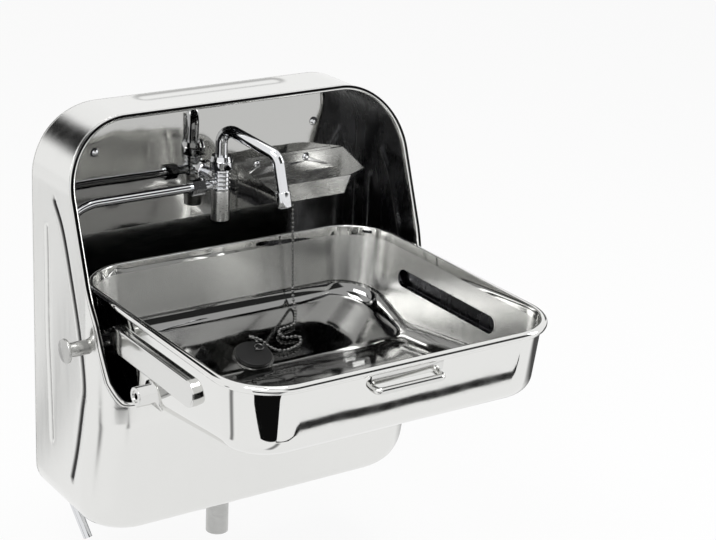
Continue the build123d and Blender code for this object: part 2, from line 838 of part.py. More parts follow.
knob_face = barrel_length + knob_gap
with BuildPart() as latch_pin:
    with BuildSketch(latch_plane.offset(wall_x - latch_pin_tip_x)):
        Circle(latch_pin_radius)
    extrude(amount=knob_face - (wall_x - latch_pin_tip_x))
    chamfer(latch_pin.faces().sort_by(Axis.X)[-1].edges(), length=knob_edge)
    with BuildSketch(latch_plane.offset(chamber_start + spring_end_gap)):
        Circle(shoulder_radius)
    extrude(amount=shoulder_length)
finish(latch_pin, "latch_pin")

with BuildPart() as latch_knob:
    with BuildSketch(latch_plane.offset(knob_face)):
        Circle(knob_radius)
    extrude(amount=knob_thickness)
    chamfer(latch_knob.edges().filter_by(GeomType.CIRCLE), length=knob_edge)
finish(latch_knob, "latch_knob")

# Return spring between the pin's shoulder and the end of the chamber
spring_start = chamber_start + spring_end_gap + shoulder_length + spring_end_gap + spring_wire_radius
spring_length = chamber_end - spring_end_gap - spring_wire_radius - spring_start
with BuildPart() as latch_spring:
    with BuildLine() as spring_line:
        Helix(
            pitch=spring_length / spring_turns, height=spring_length, radius=spring_radius,
            center=(wall_x - spring_start, latch_y, latch_height), direction=(-1, 0, 0),
        )
    with BuildSketch(Plane(spring_line.line @ 0, z_dir=spring_line.line % 0)):
        Circle(spring_wire_radius)
    sweep(path=spring_line.line, is_frenet=True)
finish(latch_spring, "latch_spring")


# The pan's outside, or with an inset its inside, as a solid up to the rim
def bowl_volume(inset, cap):
    centre_y = (rim_front + rim_rear) / 2
    width = rim_width - (rim_overhang + inset) * 2
    length = rim_rear - rim_front - (rim_overhang + inset) * 2
    radius = rim_corner_radius - rim_overhang - inset
    low = pan_low_height + inset
    rear_y = rim_rear + overrun
    front_y = rim_front - overrun
    with BuildPart() as volume:
        with BuildSketch(Plane.XY.offset(rim_top)):
            with Locations((0, centre_y)):
                RectangleRounded(width, length, radius)
        extrude(amount=-(rim_top - pan_low_height + overrun), taper=wall_draft)
        with BuildSketch(Plane.YZ):
            with BuildLine():
                FilletPolyline(
                    (rear_y, low + pan_rear_slope * (rear_y - pan_low_y)), (pan_low_y, low),
                    (front_y, low + pan_front_slope * (pan_low_y - front_y)), radius=[pan_low_radius],
                )
                Polyline(
                    (front_y, low + pan_front_slope * (pan_low_y - front_y)),
                    (front_y, pan_low_height - overrun * 2), (rear_y, pan_low_height - overrun * 2),
                    (rear_y, low + pan_rear_slope * (rear_y - pan_low_y)),
                )
            make_face()
        extrude(amount=rim_width, both=True, mode=Mode.SUBTRACT)
        floor_limit = rim_top - rim_corner_radius
        floor_edges = [
            edge for edge in volume.edges()
            if edge.center().Z < floor_limit
            and max(abs(edge.center().Y - pan_low_y), abs(edge.center().X)) > pan_low_radius
        ]
        fillet(floor_edges, radius=pan_edge_radius - inset)
        if cap:
            with BuildSketch(Plane.XY.offset(rim_top)):
                with Locations((0, centre_y)):
                    RectangleRounded(width, length, radius)
            extrude(amount=cap)
    return volume.part


# Plane of a side wall's outside: its x runs along Y and its y up the drafted wall
def side_wall_plane(side):
    draft = math.radians(wall_draft)
    return Plane(
        (side * (rim_width / 2 - rim_overhang), 0, rim_top), x_dir=(0, side, 0),
        z_dir=(side * math.cos(draft), 0, -math.sin(draft)),
    )


# Rear end of the overflow on each side: it starts later on the left, beside the open strike
def overflow_rear(side, plain, notched):
    return notched if side < 0 else plain


# Slot or channel outline on an upright plane across X
def overflow_outline(x, rear, front, bottom, top, radius):
    with BuildSketch(Plane.YZ.offset(x)) as outline:
        with Locations(((rear + front) / 2, (bottom + top) / 2)):
            RectangleRounded(rear - front, top - bottom, radius)
    return outline.sketch


drain_tilt = math.atan(pan_rear_slope)
pan_low_inside = pan_low_height + sheet
drain_floor = pan_low_inside + pan_rear_slope * (drain_y - pan_low_y)
drain_plane = Plane(
    (drain_x, drain_y, drain_floor), x_dir=(1, 0, 0), z_dir=(0, -math.sin(drain_tilt), math.cos(drain_tilt))
)

# Bowl pan with its rolled rim, overflow slots and drain hole
bowl_outside = bowl_volume(0, 0)
bowl_inside = bowl_volume(sheet, overrun)
with BuildPart() as rim_roll:
    with BuildSketch(Plane.XY.offset(rim_top)):
        with Locations((0, (rim_front + rim_rear) / 2)):
            RectangleRounded(rim_width, rim_rear - rim_front, rim_corner_radius)
    extrude(amount=-rim_height)
    fillet(rim_roll.faces().filter_by(Axis.Z).edges(), radius=rim_height * rim_round_share)

with BuildPart() as bowl_pan:
    add(bowl_outside)
    add(rim_roll.part)
    add(bowl_inside, mode=Mode.SUBTRACT)
    for side in (-1, 1):
        rear = overflow_rear(side, slot_rear, slot_notch_rear)
        slot = overflow_outline(
            side * rim_width / 4, rear, slot_front, slot_bottom, slot_bottom + slot_height, slot_end_radius
        )
        extrude(slot, amount=side * rim_width / 2, mode=Mode.SUBTRACT)
    with BuildSketch(drain_plane.offset(overrun)):
        Circle(drain_hole_radius + drain_collar_wall + running_clearance)
    extrude(amount=-overrun * 2, mode=Mode.SUBTRACT)
finish(bowl_pan, "bowl_pan")


# Raised overflow channel on the outside of a side wall, open to the slot and at its rear end
def overflow_channel(side):
    wall = side_wall_plane(side)
    face = side * channel_face_x
    rear = overflow_rear(side, channel_rear, channel_notch_rear)
    with BuildPart() as channel:
        outline = overflow_outline(face, rear, channel_front, channel_bottom, channel_top, channel_end_radius)
        extrude(outline, amount=-side * overrun)
        hollow = overflow_outline(
            face - side * sheet, rear - sheet, channel_front + sheet, channel_bottom + sheet,
            channel_top - sheet, channel_end_radius - sheet,
        )
        extrude(hollow, amount=-side * overrun, mode=Mode.SUBTRACT)
        split(bisect_by=wall, keep=Keep.TOP)
        outer_edges = channel.faces().sort_by(Axis.X)[-1 if side > 0 else 0].edges()
        chamfer(outer_edges, length=sheet / 2)
    return channel


finish(overflow_channel(-1), "overflow_channel_left")
finish(overflow_channel(1), "overflow_channel_right")


strike_face_x = -rim_width / 2 - strike_stand


# Strike on the left wall: flange with a tail, and a bored boss for the latch pin
def strike(y, height, tail_angle):
    wall = side_wall_plane(-1)
    seat_x = -(rim_width / 2 - rim_overhang) + (rim_top - height) * math.tan(math.radians(wall_draft))
    seat = wall.to_local_coords(Vector(seat_x, y, height))
    tail = math.radians(tail_angle)
    tail_offset = (
        seat.X + strike_tail_reach * math.cos(tail), seat.Y + strike_tail_reach * math.sin(tail)
    )
    with BuildPart() as piece:
        with BuildSketch(wall):
            with Locations((seat.X, seat.Y)):
                Circle(strike_flange_radius)
            with Locations(tail_offset):
                Circle(strike_tail_radius)
            make_hull()
        extrude(amount=strike_flange_thickness)
        with BuildSketch(Plane((strike_face_x, y, height), z_dir=(1, 0, 0))):
            Circle(strike_boss_radius)
        extrude(amount=seat_x - strike_face_x + strike_boss_radius)
        split(bisect_by=wall, keep=Keep.TOP)
        with BuildSketch(Plane((strike_face_x, y, height), z_dir=(1, 0, 0))):
            Circle(latch_pin_radius + strike_bore_clearance)
        extrude(amount=overrun, mode=Mode.SUBTRACT)
    return piece


# The bowl turns a quarter about the hinge, which carries the closed strike onto the latch
closed_strike_y = hinge_y - (latch_height - hinge_height)
closed_strike_height = hinge_height + (latch_y - hinge_y)
finish(strike(closed_strike_y, closed_strike_height, closed_strike_tail_angle), "closed_strike")
finish(strike(latch_y, latch_height, open_strike_tail_angle), "open_strike")

# Front handle: welded plate and a bent rod
handle_plate_top = rim_top - handle_rim_gap
handle_plate_bottom = handle_plate_top - handle_plate_height
handle_rod_height = handle_plate_bottom - handle_rod_drop
handle_rod_y = rim_front - handle_rod_reach
draft_run = math.tan(math.radians(wall_draft))
front_wall_y = rim_front + rim_overhang
front_plane = Plane(
    (0, front_wall_y, rim_top), x_dir=(1, 0, 0),
    z_dir=(0, -math.cos(math.radians(wall_draft)), -math.sin(math.radians(wall_draft))),
)
with BuildPart() as handle_plate:
    with BuildSketch(front_plane):
        with Locations((
            (handle_left + handle_right) / 2,
            ((handle_plate_bottom + handle_plate_top) / 2 - rim_top) / math.cos(math.radians(wall_draft)),
        )):
            RectangleRounded(
                handle_right - handle_left, handle_plate_top - handle_plate_bottom, handle_plate_thickness
            )
    extrude(amount=handle_plate_thickness)
finish(handle_plate, "handle_plate")

rod_wall_y = front_wall_y + (rim_top - handle_rod_height) * draft_run
rod_left = handle_left + handle_rod_radius
rod_right = handle_right - handle_rod_radius
with BuildPart() as handle_rod:
    with BuildLine() as rod_line:
        FilletPolyline(
            (rod_left, rod_wall_y + overrun, handle_rod_height), (rod_left, handle_rod_y, handle_rod_height),
            (rod_right, handle_rod_y, handle_rod_height), (rod_right, rod_wall_y + overrun, handle_rod_height),
            radius=handle_bend_radius,
        )
    with BuildSketch(Plane((rod_left, rod_wall_y + overrun, handle_rod_height), z_dir=(0, -1, 0))):
        Circle(handle_rod_radius)
    sweep(path=rod_line.line)
    split(bisect_by=front_plane, keep=Keep.TOP)
finish(handle_rod, "handle_rod")

# Piano hinge: leaves with alternate knuckles on one pin
pitch = hinge_length / knuckle_count
hinge_left = -hinge_length / 2


# Every second knuckle from the first, each with the bar that joins it to its leaf
def knuckles(first, low_y, high_y, low_height, high_height):
    with BuildPart() as row:
        for index in range(first, knuckle_count, 2):
            start = hinge_left + pitch * index + knuckle_gap / 2
            with BuildSketch(Plane.YZ.offset(start)):
                with BuildLine():
                    Polyline(
                        (low_y, low_height), (high_y, low_height), (high_y, high_height),
                        (low_y, high_height), close=True,
                    )
                make_face()
                with Locations((hinge_y, hinge_height)):
                    Circle(knuckle_radius)
            extrude(amount=pitch - knuckle_gap)
    return row.part


with BuildPart() as knuckle_bore:
    with BuildSketch(Plane.YZ.offset(hinge_left - overrun)):
        with Locations((hinge_y, hinge_height)):
            Circle(hinge_pin_radius + running_clearance)
    extrude(amount=hinge_length + overrun * 2)


skirt_inner_y = -hood_depth + sheet
leaf_top = hinge_height - knuckle_radius - leaf_relief
with BuildPart() as hinge_fixed_leaf:
    with BuildSketch(Plane.XZ.offset(-skirt_inner_y)):
        with BuildLine():
            Polyline(
                (hinge_left, fixed_leaf_bottom), (-hinge_left, fixed_leaf_bottom), (-hinge_left, leaf_top),
                (hinge_left, leaf_top), close=True,
            )
        make_face()
    extrude(amount=-leaf_thickness)
    add(knuckles(0, skirt_inner_y, skirt_inner_y + leaf_thickness, leaf_top, hinge_height))
    add(knuckle_bore.part, mode=Mode.SUBTRACT)
finish(hinge_fixed_leaf, "hinge_fixed_leaf")

# The moving leaf lies under the pan's floor, ahead of the hinge, along the floor's slope
leaf_angle = math.atan(pan_front_slope)
floor_plane = Plane(
    (0, pan_low_y, pan_low_height), x_dir=(1, 0, 0), z_dir=(0, math.sin(leaf_angle), math.cos(leaf_angle))
)
leaf_start_y = hinge_y - knuckle_radius - leaf_relief
leaf_start = (pan_low_y - leaf_start_y) / math.cos(leaf_angle)
leaf_end = leaf_start + moving_leaf_width
with BuildPart() as hinge_moving_leaf:
    with BuildSketch(floor_plane):
        with BuildLine():
            Polyline(
                (hinge_left, -leaf_start), (hinge_left, -leaf_end + moving_leaf_chamfer),
                (hinge_left + moving_leaf_chamfer, -leaf_end), (-hinge_left - moving_leaf_chamfer, -leaf_end),
                (-hinge_left, -leaf_end + moving_leaf_chamfer), (-hinge_left, -leaf_start), close=True,
            )
        make_face()
    extrude(amount=-leaf_thickness)
    web_top = pan_low_height + pan_front_slope * (pan_low_y - hinge_y)
    add(knuckles(1, leaf_start_y - leaf_thickness, hinge_y, web_top - leaf_thickness, web_top))
    add(knuckle_bore.part, mode=Mode.SUBTRACT)
    split(bisect_by=floor_plane, keep=Keep.BOTTOM)
finish(hinge_moving_leaf, "hinge_moving_leaf")

with BuildPart() as hinge_pin:
    with BuildSketch(Plane.YZ.offset(hinge_left)):
        with Locations((hinge_y, hinge_height)):
            Circle(hinge_pin_radius)
    extrude(amount=hinge_length)
finish(hinge_pin, "hinge_pin")

# Drain ring of the bowl: flange, collar and a crossed grate
with BuildPart() as bowl_drain_ring:
    with BuildSketch(drain_plane):
        Circle(drain_flange_radius)
        Circle(drain_hole_radius, mode=Mode.SUBTRACT)
    extrude(amount=drain_flange)
    add(bowl_inside, mode=Mode.INTERSECT)
    with BuildSketch(drain_plane):
        Circle(drain_hole_radius + drain_collar_wall)
        Circle(drain_hole_radius, mode=Mode.SUBTRACT)
    extrude(amount=-drain_collar_depth)
    with BuildSketch(drain_plane.offset(-drain_collar_depth)):
        Rectangle(drain_hole_radius * 2 + drain_collar_wall, drain_bar_width)
        Rectangle(drain_bar_width, drain_hole_radius * 2 + drain_collar_wall)
    extrude(amount=drain_bar_depth)
finish(bowl_drain_ring, "bowl_drain_ring")

# Rubber plug with a metal eye and ring
with BuildPart() as sink_plug:
    with BuildSketch(drain_plane.offset(drain_flange)):
        Circle(plug_radius)
    extrude(amount=plug_head)
    fillet(sink_plug.edges().filter_by(GeomType.CIRCLE), radius=plug_lip_radius)
    with BuildSketch(drain_plane.offset(drain_flange)):
        Circle(plug_nose_radius)
    extrude(amount=-plug_nose_depth, taper=plug_nose_taper)
finish(sink_plug, "sink_plug")

plug_top = drain_flange + plug_head
eye_centre = drain_plane.from_local_coords(Vector(eye_x, eye_y, plug_top))
ring_centre = drain_plane.from_local_coords(Vector(ring_x, ring_y, plug_top + ring_lift + ring_wire_radius))
eye_run = (ring_centre - eye_centre) - drain_plane.z_dir * (ring_centre - eye_centre).dot(drain_plane.z_dir)
with BuildPart() as plug_eye:
    with BuildSketch(Plane(eye_centre, x_dir=eye_run, z_dir=drain_plane.z_dir)):
        with Locations((eye_radius, 0)):
            Circle(eye_wire_radius)
    revolve(axis=Axis(eye_centre, eye_run.cross(drain_plane.z_dir)), revolution_arc=180.0)
finish(plug_eye, "plug_eye")

with BuildPart() as plug_ring:
    with BuildSketch(Plane(ring_centre, x_dir=eye_run, z_dir=eye_run.cross(drain_plane.z_dir))):
        with Locations((ring_radius, 0)):
            Circle(ring_wire_radius)
    revolve(axis=Axis(ring_centre, drain_plane.z_dir))
finish(plug_ring, "plug_ring")


# Each arc of a cord is as large as its two runs allow
def cord_radii(points):
    radii = []
    for before, here, after in zip(points, points[1:], points[2:]):
        first = Vector(*here) - Vector(*before)
        second = Vector(*after) - Vector(*here)
        half_turn = math.radians(first.get_angle(second)) / 2
        radii.append(cord_bend_share * min(first.length, second.length) / math.tan(half_turn))
    return radii


def cord_tube(points):
    radii = cord_radii(points)
    with BuildPart() as tube:
        with BuildLine() as route:
            FilletPolyline(*points, radius=radii)
        with BuildSketch(Plane(route.line @ 0, z_dir=route.line % 0)):
            Circle(chain_radius)
        sweep(path=route.line)
    length = sum(edge.length for edge in route.line.edges())
    plain = math.pi * chain_radius ** 2 * length
    print("chain radii", [round(radius, 1) for radius in radii])
    print("chain length", round(length, 1), "volume over section times length", tube.part.volume / plain)
    return tube


# Bead chain: it hangs from an eyelet under the soap dish, then lies on the bowl's floor to the plug
chain_top = (chain_top_x, chain_top_y, chain_top_height)
chain_foot = (chain_foot_x, chain_foot_y, chain_foot_height)
finish(cord_tube([chain_top] + hang_points + [chain_foot]), "chain_hanging")
finish(cord_tube([chain_foot] + lying_points + [chain_end]), "chain_lying")

tray_plane = Plane((dish_x, dish_back_y, dish_height), x_dir=(1, 0, 0), z_dir=(0, 0, 1))
tray_plane = tray_plane.rotated((dish_lean, 0, 0))
eyelet_reach = (chain_top_y - dish_back_y) / math.cos(math.radians(dish_lean))
eyelet_centre = tray_plane.from_local_coords(Vector(chain_top_x - dish_x, eyelet_reach, 0))
with BuildPart() as chain_eyelet:
    with BuildSketch(Plane(eyelet_centre, x_dir=tray_plane.y_dir, z_dir=tray_plane.z_dir)):
        with Locations((eyelet_radius, 0)):
            Circle(eyelet_wire_radius)
    revolve(axis=Axis(eyelet_centre, tray_plane.x_dir), revolution_arc=-180.0)
finish(chain_eyelet, "chain_eyelet")
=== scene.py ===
import json
import math
import bmesh
import bpy
import numpy as np
from mathutils import Matrix, Vector


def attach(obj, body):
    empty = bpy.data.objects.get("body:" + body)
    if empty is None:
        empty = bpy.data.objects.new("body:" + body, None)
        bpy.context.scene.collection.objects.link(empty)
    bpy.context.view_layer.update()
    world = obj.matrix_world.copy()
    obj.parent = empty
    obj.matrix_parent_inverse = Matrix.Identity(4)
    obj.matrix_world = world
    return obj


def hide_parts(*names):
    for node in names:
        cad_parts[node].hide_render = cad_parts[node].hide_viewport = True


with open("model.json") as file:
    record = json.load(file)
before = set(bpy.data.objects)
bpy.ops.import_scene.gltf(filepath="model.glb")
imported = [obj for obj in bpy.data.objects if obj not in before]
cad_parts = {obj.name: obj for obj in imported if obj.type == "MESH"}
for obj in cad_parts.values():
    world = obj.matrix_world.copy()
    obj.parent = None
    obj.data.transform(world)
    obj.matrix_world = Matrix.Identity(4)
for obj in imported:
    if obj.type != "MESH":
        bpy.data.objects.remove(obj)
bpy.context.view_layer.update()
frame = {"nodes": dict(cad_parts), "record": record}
print("frame loaded")

mm = 0.001    # lengths in the dictionaries are millimetres, angles are degrees

# ---- camera, solved from the photograph
camera = {
    "place": (-958.4, -1658.4, 951.8),
    "back": (-0.504, -0.7935, 0.341),
    "roll": 1.8,
    "lens": 93.74,
    "sensor": 36.0,
    "shift": (0.117, -0.0284),
}


def unit(vectors):
    # every vector over its own length
    vectors = np.asarray(vectors, float)
    return vectors / np.linalg.norm(vectors, axis=-1, keepdims=True)


cameraData = bpy.data.cameras.new("viewCamera")
cameraObject = bpy.data.objects.new("viewCamera", cameraData)
bpy.context.scene.collection.objects.link(cameraObject)
bpy.context.scene.camera = cameraObject
cameraData.lens = camera["lens"]
cameraData.sensor_width = camera["sensor"]
cameraData.shift_x, cameraData.shift_y = camera["shift"]
cameraData.clip_end = 50
cameraBack = unit(camera["back"])
levelRight = unit(np.cross((0, 0, 1), cameraBack))
levelUp = np.cross(cameraBack, levelRight)
roll = math.radians(camera["roll"])
cameraRight = math.cos(roll) * levelRight + math.sin(roll) * levelUp
cameraUp = math.cos(roll) * levelUp - math.sin(roll) * levelRight
turned = Matrix((cameraRight, cameraUp, cameraBack)).transposed().to_4x4()
cameraObject.matrix_world = Matrix.Translation(Vector(camera["place"]) * mm) @ turned
print("camera set")


# ---- materials
def linear(code):
    # sRGB hex to linear: below the knee a straight part, above it a power of 2.4
    parts = [int(code[k:k + 2], 16) / 255 for k in (1, 3, 5)]
    return tuple(p / 12.92 if p <= 0.04045 else ((p + 0.055) / 1.055) ** 2.4 for p in parts) + (1.0,)


def addNode(tree, kind, settings=None, links=None):
    # one node with its values set and its inputs joined
    node = tree.nodes.new(kind)
    for key, value in (settings or {}).items():
        if isinstance(key, int) or key in node.inputs.keys():
            node.inputs[key].default_value = value
        else:
            setattr(node, key, value)
    for key, socket in (links or {}).items():
        tree.links.new(socket, node.inputs[key])
    return node


def newMaterial(name):
    material = bpy.data.materials.new(name)
    material.use_nodes = True
    material.node_tree.nodes.clear()
    return material, material.node_tree


def metalFinish(name, finish):
    # metal: its colour and mean gloss, a gloss that varies with the polishing streaks, and slow waves of the sheet
    material, tree = newMaterial(name)
    place = addNode(tree, "ShaderNodeTexCoord")
    stretched = addNode(tree, "ShaderNodeMapping", {"Scale": finish["streakStretch"]}, {"Vector": place.outputs["Object"]})
    streaks = addNode(
        tree, "ShaderNodeTexNoise",
        {"Scale": 1 / (finish["streakWidth"] * mm), "Detail": 4.0, "Roughness": 0.6},
        {"Vector": stretched.outputs["Vector"]},
    )
    gloss = addNode(
        tree, "ShaderNodeMapRange",
        {
            "From Min": 0.3, "From Max": 0.7,
            "To Min": finish["roughness"] - finish["roughnessSpread"],
            "To Max": finish["roughness"] + finish["roughnessSpread"],
        },
        {"Value": streaks.outputs["Fac"]},
    )
    waves = addNode(
        tree, "ShaderNodeTexNoise", {"Scale": 1 / (finish["waveWidth"] * mm), "Detail": 1.5},
        {"Vector": place.outputs["Object"]},
    )
    relief = addNode(
        tree, "ShaderNodeBump", {"Strength": 1.0, "Distance": finish["waveHeight"] * mm},
        {"Height": waves.outputs["Fac"]},
    )
    fine = addNode(
        tree, "ShaderNodeBump", {"Strength": finish["streakBump"], "Distance": finish["streakHeight"] * mm},
        {"Height": streaks.outputs["Fac"], "Normal": relief.outputs["Normal"]},
    )
    shader = addNode(
        tree, "ShaderNodeBsdfPrincipled", {"Base Color": linear(finish["colour"]), "Metallic": 1.0},
        {"Roughness": gloss.outputs["Result"], "Normal": fine.outputs["Normal"]},
    )
    if finish.get("creaseShadeColour"):    # painted shade: the mesh's own shade value darkens the base colour in the bottoms of pressed lines and at the hem's foot, where shade falls
        paintedShade = addNode(tree, "ShaderNodeAttribute", {"attribute_name": "paintedShade"})
        tone = addNode(tree, "ShaderNodeMix", {"data_type": "RGBA"}, {0: paintedShade.outputs["Fac"]})
        tone.inputs[6].default_value = linear(finish["colour"])
        tone.inputs[7].default_value = linear(finish["creaseShadeColour"])
        tree.links.new(tone.outputs[2], shader.inputs["Base Color"])
    addNode(tree, "ShaderNodeOutputMaterial", {}, {"Surface": shader.outputs["BSDF"]})
    return material


# drawn stainless sheet, softly polished after drawing: broad soft reflections with faint vertical streaks, and painted
# shade in its pressed lines
satinStainless = metalFinish("drawnStainlessSheet", {
    "colour": "#e6e6e4", "creaseShadeColour": "#0c0c0c", "roughness": 0.17, "roughnessSpread": 0.03, "streakWidth": 9.0,
    "streakStretch": (1.0, 1.0, 0.12), "streakBump": 0.15, "streakHeight": 0.05, "waveWidth": 160.0, "waveHeight": 1.2,
})
# inside of the drawn hood: duller, as it came from the press, and painted dark to stand for the shade inside the hood
shadedInnerStainless = metalFinish("unpolishedShadedStainlessInside", {
    "colour": "#4c4c4f", "roughness": 0.26, "roughnessSpread": 0.06, "streakWidth": 12.0,
    "streakStretch": (1.0, 1.0, 0.3), "streakBump": 0.25, "streakHeight": 0.05, "waveWidth": 60.0, "waveHeight": 0.8,
})
# bright rolled stainless: sharper reflections
plainStainless = metalFinish("brightRolledStainless", {
    "colour": "#dcdcda", "roughness": 0.14, "roughnessSpread": 0.03, "streakWidth": 4.0,
    "streakStretch": (0.2, 1.0, 1.0), "streakBump": 0.1, "streakHeight": 0.03, "waveWidth": 60.0, "waveHeight": 0.2,
})
# splash panel, buffed to a mirror: the slow waves of thin sheet bend what it reflects
mirrorStainless = metalFinish("mirrorPolishedStainless", {
    "colour": "#bcbcba", "roughness": 0.045, "roughnessSpread": 0.015, "streakWidth": 30.0,
    "streakStretch": (1.0, 1.0, 1.0), "streakBump": 0.0, "streakHeight": 0.01, "waveWidth": 75.0, "waveHeight": 1.1,
})
# bowl, drawn and buffed: near-mirror with a soft haze and the ripple of the drawing
polishedStainless = metalFinish("buffedDrawnStainless", {
    "colour": "#e4e4e2", "roughness": 0.035, "roughnessSpread": 0.01, "streakWidth": 18.0,
    "streakStretch": (1.0, 1.0, 0.4), "streakBump": 0.1, "streakHeight": 0.04, "waveWidth": 90.0, "waveHeight": 0.12,
})
# soap dish: the same sheet cut and folded by hand, left with the dull grain it came with
foldedStainless = metalFinish("dullFoldedStainless", {
    "colour": "#c8c8c6", "roughness": 0.26, "roughnessSpread": 0.03, "streakWidth": 4.0,
    "streakStretch": (0.2, 1.0, 1.0), "streakBump": 0.1, "streakHeight": 0.03, "waveWidth": 60.0, "waveHeight": 0.1,
})
# bowl's inner walls: the same sheet, rubbed to a soft satin by the polishing wheel
satinBowl = metalFinish("rubbedStainlessWall", {
    "colour": "#ececea", "roughness": 0.22, "roughnessSpread": 0.02, "streakWidth": 10.0,
    "streakStretch": (1.0, 1.0, 0.15), "streakBump": 0.05, "streakHeight": 0.03, "waveWidth": 90.0, "waveHeight": 0.3,
})
# bowl's floor: mirror-like, with the slow ripple that drawing leaves in a flat bottom, its colour painted dark to stand
# for the shade and dark reflections in the bowl's bottom
shadedRippledFloor = metalFinish("drawnMirrorFloor", {
    "colour": "#8f8f8e", "roughness": 0.06, "roughnessSpread": 0.02, "streakWidth": 14.0,
    "streakStretch": (1.0, 0.3, 1.0), "streakBump": 0.15, "streakHeight": 0.04, "waveWidth": 48.0, "waveHeight": 0.55,
})
# bright chrome on brass: hard, smooth and slightly cool
chromedBrass = metalFinish("brightChromePlate", {
    "colour": "#dedfe1", "roughness": 0.06, "roughnessSpread": 0.015, "streakWidth": 12.0,
    "streakStretch": (1.0, 1.0, 1.0), "streakBump": 0.0, "streakHeight": 0.01, "waveWidth": 30.0, "waveHeight": 0.05,
})
# satin chrome: turned parts with fine rings, a soft dull gloss
satinChrome = metalFinish("satinChromePlate", {
    "colour": "#bfbfbd", "roughness": 0.3, "roughnessSpread": 0.05, "streakWidth": 3.0,
    "streakStretch": (1.0, 1.0, 4.0), "streakBump": 0.25, "streakHeight": 0.03, "waveWidth": 40.0, "waveHeight": 0.05,
})
# spring wire, drawn and dull
springSteel = metalFinish("drawnSpringWire", {
    "colour": "#7d7d80", "roughness": 0.35, "roughnessSpread": 0.05, "streakWidth": 2.0,
    "streakStretch": (1.0, 1.0, 1.0), "streakBump": 0.1, "streakHeight": 0.02, "waveWidth": 20.0, "waveHeight": 0.02,
})
# bead chain: small polished balls of plated brass, their colour painted dark to stand for the dark reflections at their
# edges
darkenedBeadMetal = metalFinish("platedBeadChain", {
    "colour": "#747473", "roughness": 0.2, "roughnessSpread": 0.04, "streakWidth": 5.0,
    "streakStretch": (1.0, 1.0, 1.0), "streakBump": 0.1, "streakHeight": 0.02, "waveWidth": 20.0, "waveHeight": 0.02,
})

plugRubber, rubberTree = newMaterial("mouldedBlackRubber")    # moulded rubber: nearly black with a waxy sheen
rubberPlace = addNode(rubberTree, "ShaderNodeTexCoord")
rubberGrain = addNode(
    rubberTree, "ShaderNodeTexNoise", {"Scale": 1 / (1.2 * mm), "Detail": 3.0}, {"Vector": rubberPlace.outputs["Object"]}
)
rubberTone = addNode(
    rubberTree, "ShaderNodeMix",
    {"data_type": "RGBA"},
)
rubberTone.inputs[6].default_value = linear("#0b0b0b")
rubberTone.inputs[7].default_value = linear("#161616")
rubberTree.links.new(rubberGrain.outputs["Fac"], rubberTone.inputs[0])
rubberRelief = addNode(
    rubberTree, "ShaderNodeBump", {"Strength": 0.4, "Distance": 0.05 * mm}, {"Height": rubberGrain.outputs["Fac"]}
)
rubberShader = addNode(
    rubberTree, "ShaderNodeBsdfPrincipled", {"Roughness": 0.5, "Specular IOR Level": 0.3},
    {"Base Color": rubberTone.outputs[2], "Normal": rubberRelief.outputs["Normal"]},
)
addNode(rubberTree, "ShaderNodeOutputMaterial", {}, {"Surface": rubberShader.outputs["BSDF"]})

slotMaterials = {
    "satin_stainless": satinStainless, "plain_stainless": plainStainless, "mirror_stainless": mirrorStainless,
    "polished_stainless": polishedStainless, "chromed_brass": chromedBrass, "satin_chrome": satinChrome,
    "chromed_pipe": chromedBrass, "fixings": chromedBrass, "spring_steel": springSteel, "bead_chain": darkenedBeadMetal,
    "plug_rubber": plugRubber,
}
nodeSlots = {entry["node"]: entry["material_slot"] for entry in frame["record"]["subparts"]}
nodeBodies = {node: body for body, members in frame["record"]["behaviour"]["bodies"].items() for node in members}
for nodeName, nodeObject in frame["nodes"].items():
    nodeObject.data.materials.clear()
    nodeObject.data.materials.append(slotMaterials[nodeSlots[nodeName]])
print("materials made")


# ---- mesh helpers
def gridFaces(rows, columns, wrapped):
    # a cell joins a point, the next in its row and the two above; a wrapped grid joins its last column to its first
    cells = columns if wrapped else columns - 1
    row, column = np.meshgrid(np.arange(rows - 1), np.arange(cells), indexing="ij")
    beside = (column + 1) % columns
    low, high = row * columns, (row + 1) * columns
    return np.stack([low + column, low + beside, high + beside, high + column], axis=-1).reshape(-1, 4)


def makePiece(name, grids, node, sharp=35.0, others=(), wall=None, body=None, slot=None, values=None):
    # all grids in one mesh, doubles merged, faces outwards, in place of a CAD node
    points, faces, count = [], [], 0
    for grid, wrapped in grids:
        rows, columns = grid.shape[:2]
        points.append(grid.reshape(-1, 3))
        faces.append(gridFaces(rows, columns, wrapped) + count)
        count += rows * columns
    mesh = bpy.data.meshes.new(name)
    mesh.from_pydata((np.concatenate(points) * mm).tolist(), [], np.concatenate(faces).tolist())
    for key, value in (values or {}).items():
        mesh.attributes.new(key, "FLOAT", "POINT").data.foreach_set("value", np.asarray(value, np.float32))
    shape = bmesh.new()
    shape.from_mesh(mesh)
    bmesh.ops.remove_doubles(shape, verts=shape.verts, dist=2e-6)
    bmesh.ops.recalc_face_normals(shape, faces=shape.faces)
    shape.to_mesh(mesh)
    shape.free()
    mesh.shade_smooth()
    mesh.set_sharp_from_angle(angle=math.radians(sharp))
    piece = bpy.data.objects.new(name, mesh)
    bpy.context.scene.collection.objects.link(piece)
    slot = slot or nodeSlots[node]
    mesh.materials.append(slotMaterials[slot])
    if wall:
        solid = piece.modifiers.new("wall", "SOLIDIFY")
        solid.thickness = wall * mm
        solid.offset = -1
        solid.use_even_offset = True
    if node:
        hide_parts(node, *others)
    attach(piece, body or nodeBodies[node])
    return piece


